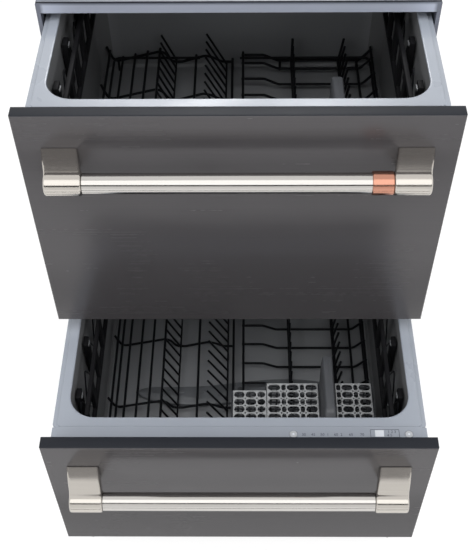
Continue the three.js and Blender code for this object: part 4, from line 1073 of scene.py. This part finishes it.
def lattice(name, corner, across, up, count, bar):
    """A flat lattice from a corner along two edges, all in mm, with count cells each way."""
    deselect_all()
    bpy.ops.mesh.primitive_grid_add(x_subdivisions=count[0], y_subdivisions=count[1], size=1)
    wall = bpy.context.object
    wall.name = name
    corner, across, up = Vector(corner), Vector(across), Vector(up)
    for vertex in wall.data.vertices:
        u, v = vertex.co.x + 0.5, vertex.co.y + 0.5
        vertex.co = (corner + across * u + up * v) * MM
    edit(wall, "FACE")
    bpy.ops.mesh.select_all(action="SELECT")
    bpy.ops.mesh.inset(thickness=bar / 2 * MM, depth=0, use_individual=True)
    bpy.ops.mesh.delete(type="FACE")
    finish_edit()
    return wall


def basket_walls():
    low, high = BASKET_BOTTOM, BASKET_TOP
    walls = []
    height = (0, 0, high - low)
    for x0, x1, back in ((-14, 49, 196), (46, 141, 211), (168, 236, 211)):
        across = max(3, round((x1 - x0) / 11))
        deep = max(5, round((back - 70) / 11))
        walls.append(lattice("wall", (x0, 70, low), (x1 - x0, 0, 0), height, (across, 9), 3.2))
        walls.append(lattice("wall", (x0, back, low), (x1 - x0, 0, 0), height, (across, 9), 3.2))
        walls.append(lattice("wall", (x0, 70, low), (0, back - 70, 0), height, (deep, 9), 3.2))
        walls.append(lattice("wall", (x1, 70, low), (0, back - 70, 0), height, (deep, 9), 3.2))
        walls.append(lattice("floor", (x0, 70, low + 1.3), (x1 - x0, 0, 0), (0, back - 70, 0),
                             (across, deep), 3.2))
        for y in (70, back):
            walls.append(block("rim", (x0, x1), (y - 1.3, y + 1.3), (high - 4, high)))
        for x in (x0, x1):
            walls.append(block("rim", (x - 1.3, x + 1.3), (70, back), (high - 4, high)))
    return walls


walls = []
for wall in basket_walls():
    if wall.name.startswith("rim"):
        soften(wall, 0.6, 2)
    else:
        modify(wall, "SOLIDIFY", thickness=2.4 * MM, offset=0)
    walls.append(wall)
grip = pull("grip", [
    rounded((141.5, 167.5), (70.5, 210.5), 4, -156),
    rounded((142.0, 167.0), (76, 213), 4, -148),
    rounded((144.2, 164.8), (108, 233), 5, -112),
    rounded((145.5, 163.5), (120, 237.5), 6, -101),
    rounded((148, 161), (125, 234), 6, -98.2),
])
smooth(grip, 40)
basket = join("cutlery_lattice", grip, *walls)
low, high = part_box("top_cutlery_basket")
shift = {"top": (0, low.y / MM - places["top"].y - 70, 0)}
to_drawers(basket, "cutlery_basket", "basket_plastic", basket_grey, ["cutlery_basket"], shift)
print("basket:", len(basket.data.polygons), "faces, top one shifted by", shift["top"][1])

# %% [markdown]
# ### Basket lids
# Only the lower basket has its lids on. Each is a plate with rows of slots with round ends.
# A slot is a cutter with the shape of a stadium, and the rows of them are cut out at once.


# %% Basket lids
def stadium(x, y, length, width, z):
    """A cutter with round ends, long in X."""
    radius = min(length, width) / 2 - 0.01
    return pull("slot", [rounded((x - length / 2, x + length / 2), (y - width / 2, y + width / 2),
                                 radius, level, 4) for level in z])


def basket_lid(word, left, right, back, columns):
    """One lid. columns are the edges of its columns of slots, as shares of its width."""
    z = (-149.7, -147.2)
    through = (z[0] - 2, z[1] + 2)
    lid = block("lid", (left, right), (72, back), z)
    soften(lid, 0.8, 2)
    widths = [left + 1 + (right - left - 2) * c for c in columns]
    front = 73.5
    rows = round((back - 1.5 - front) / 15.3)
    pitch = (back - 1.5 - front) / rows
    cutters = []
    for a, b in zip(widths, widths[1:]):
        for j in range(rows):
            cutters.append(stadium((a + b) / 2, front + pitch * (j + 0.5),
                                   b - a - 1.9, pitch - 2.3, through))
    for x in widths[1:-1]:
        for j in range(1, rows):
            cutters.append(cylinder("gap", "z", 2.0, through, (x, front + pitch * j), 4))
    carve(lid, join("cutters", *cutters))
    lid.name = "basket_cover_" + word
    smooth(lid, 30)
    move(lid, places["lower"])
    return dress(lid, "basket_lid_" + word, "basket_lid_plastic", basket_lid_grey,
                 "basket_lid_" + word)


for word, left, right, back, columns in (
        ("small", -12, 47, 196, (0, 0.36, 0.72, 1)),
        ("middle", 48, 139, 211, (0, 0.27, 0.38, 0.64, 0.75, 1)),
        ("right", 170, 234, 211, (0, 0.15, 0.49, 0.64, 1))):
    lid = basket_lid(word, left, right, back, columns)
    print(lid.name, len(lid.data.polygons), "faces")

# %% [markdown]
# ## Spray arms
# The arm is a flat, slightly bent blade with a round boss. Its outline is pulled up in four
# rings, so that its edges are round, and small nozzles stand on it.

# %% Spray arm
LOW = FLOOR + 3.3


def arm_outline(inset, z):
    points, steps = [], 20
    for edge in (-1, 1):
        for i in range(steps + 1):
            t = math.cos(math.pi * i / steps) * edge * -1
            half = 22 * (1 - 0.3 * t * t) * (1 - abs(t) ** 12) + 0.3
            half = max(0.2, half - inset)
            points.append(Vector(((205 - inset) * t, 285 + 9 * math.sin(math.pi * t) + edge * half,
                                  z)))
    return points


arm = pull("arm", [arm_outline(2.5, LOW), arm_outline(0.4, LOW + 1.5), arm_outline(0, LOW + 4),
                   arm_outline(0.6, LOW + 7.4), arm_outline(3.0, LOW + 9)])
smooth(arm, 40)
boss = cylinder("boss", "z", 18.4, (LOW, LOW + 12), (0, 285), 48)
soften(boss, 2.0, 3)
parts = [arm, boss]
for x in (-180, -150, -115, -75, -40, 45, 80, 120, 152, 182):
    y = 285 + 9 * math.sin(math.pi * x / 205) + (6 if x % 10 else -4)
    nozzle = block("nozzle", (x - 5, x + 5), (y - 2, y + 2), (LOW + 8, LOW + 10.2))
    soften(nozzle, 0.8, 2)
    parts.append(nozzle)
arm = join("spray_blade", *parts)
to_drawers(arm, "spray_arm", "grey_plastic", arm_grey, ["spray_arm"])
print("spray arm:", len(arm.data.polygons), "faces")

# %% [markdown]
# ## Floor and light
# The floor and the surroundings are white where the camera, a reflection or glass looks at
# them, and the floor keeps the object's soft shadow. A broad lamp above and two at the sides
# give plain studio light.

# %% World
def seen_rays(tree):
    """One for the rays that see the studio white, nought for those that light the object."""
    rays = add(tree, "ShaderNodeLightPath").outputs
    seen = add(tree, "ShaderNodeMath", {0: rays["Is Camera Ray"], 1: rays["Is Glossy Ray"]},
               operation="ADD")
    return add(tree, "ShaderNodeMath", {0: seen.outputs[0], 1: rays["Is Transmission Ray"]},
               operation="ADD", use_clamp=True).outputs[0]


world = bpy.data.worlds.new("studio")
bpy.context.scene.world = world
world.use_nodes = True
tree = world.node_tree
tree.nodes.clear()
soft = add(tree, "ShaderNodeBackground", {"Color": (1, 1, 1, 1), "Strength": 0.5})
white = add(tree, "ShaderNodeBackground", {"Color": (1, 1, 1, 1), "Strength": 1.0})
chosen = add(tree, "ShaderNodeMixShader", {0: seen_rays(tree), 1: soft.outputs[0],
                                           2: white.outputs[0]})
add(tree, "ShaderNodeOutputWorld", {"Surface": chosen.outputs[0]})
print("world:", len(tree.nodes), "nodes")

# %% [markdown]
# ### Floor
# A plane just under the feet. It glows a little where it is seen, so that it meets the white
# surroundings, and it is plainly lit everywhere else.

# %% Floor
deselect_all()
bpy.ops.mesh.primitive_plane_add(size=14, location=(0, 0, -0.0005))
ground = bpy.context.object
ground.name = "studio_floor"
floor_white = bpy.data.materials.new("floor_white")
floor_white.use_nodes = True
tree = floor_white.node_tree
tree.nodes.clear()
lit = add(tree, "ShaderNodeBsdfDiffuse", {"Color": (0.3, 0.3, 0.3, 1)})
bounce = add(tree, "ShaderNodeBsdfDiffuse", {"Color": (0.6, 0.6, 0.6, 1)})
glow = add(tree, "ShaderNodeEmission", {"Color": (1, 1, 1, 1), "Strength": 0.8})
shown = add(tree, "ShaderNodeAddShader", {0: lit.outputs[0], 1: glow.outputs[0]})
chosen = add(tree, "ShaderNodeMixShader", {0: seen_rays(tree), 1: bounce.outputs[0],
                                           2: shown.outputs[0]})
add(tree, "ShaderNodeOutputMaterial", {"Surface": chosen.outputs[0]})
ground.data.materials.append(floor_white)
print("floor placed")


# %% [markdown]
# ### Lamps
# The lamps light the object and are not seen in its reflections; the cards below are.


# %% Lamps
def lamp(name, place, size, power):
    bpy.ops.object.light_add(type="AREA", location=place)
    light = bpy.context.object
    light.name = name
    light.data.shape = "RECTANGLE"
    light.data.size, light.data.size_y = size
    light.data.energy = power
    light.rotation_euler = (Vector((0, 0, 0.4)) - Vector(place)).to_track_quat("-Z", "Y").to_euler()
    light.visible_glossy = False
    return light


lamp("overhead", (0, -1.3, 3.5), (3.2, 2.2), 76)
lamp("front_left", (-2.0, -2.4, 1.7), (1.6, 1.6), 27)
lamp("front_right", (2.0, -2.4, 1.7), (1.6, 1.6), 27)
print("three lamps")

# %% [markdown]
# ### Cards
# Bright metal shows what stands around it. As in a studio, a long black card in front draws the
# dark line along the bars, a white card above it lights their upper half, a bright one behind
# lays a soft glare on the rim's front, and two dark strips on the floor give the dark band
# under the top panel's edge and calm the foot of the lower panel. Only reflections see them,
# and they light nothing.


# %% Cards
def card(name, corners, strength):
    deselect_all()
    bpy.ops.mesh.primitive_plane_add(size=1)
    sheet = bpy.context.object
    sheet.name = name
    for vertex, corner in zip(sheet.data.vertices, corners):
        vertex.co = corner
    glow = bpy.data.materials.new(name)
    glow.use_nodes = True
    glow.node_tree.nodes.clear()
    lit = add(glow.node_tree, "ShaderNodeEmission", {"Color": (1, 1, 1, 1), "Strength": strength})
    add(glow.node_tree, "ShaderNodeOutputMaterial", {"Surface": lit.outputs[0]})
    sheet.data.materials.append(glow)
    for ray in ("camera", "diffuse", "transmission", "volume_scatter", "shadow"):
        setattr(sheet, "visible_" + ray, False)
    return sheet


WIDE = (-2.5, 2.5)
for name, (left, right), low, high, strength in (
        ("card_black", WIDE, (-1.65, 1.03), (-1.65, 1.43), 0.02),
        ("card_white", WIDE, (-1.66, 1.44), (-0.75, 2.9), 1.8),
        ("card_behind", (-0.68, 0.58), (1.83, 2.9), (2.91, 2.9), 16.0),
        ("card_floor", WIDE, (-1.24, 0.004), (-1.125, 0.004), 0.0),
        ("card_near", WIDE, (-0.60, 0.004), (-0.47, 0.004), 0.6)):
    card(name, [(left, *low), (right, *low), (left, *high), (right, *high)], strength)
print("five cards")
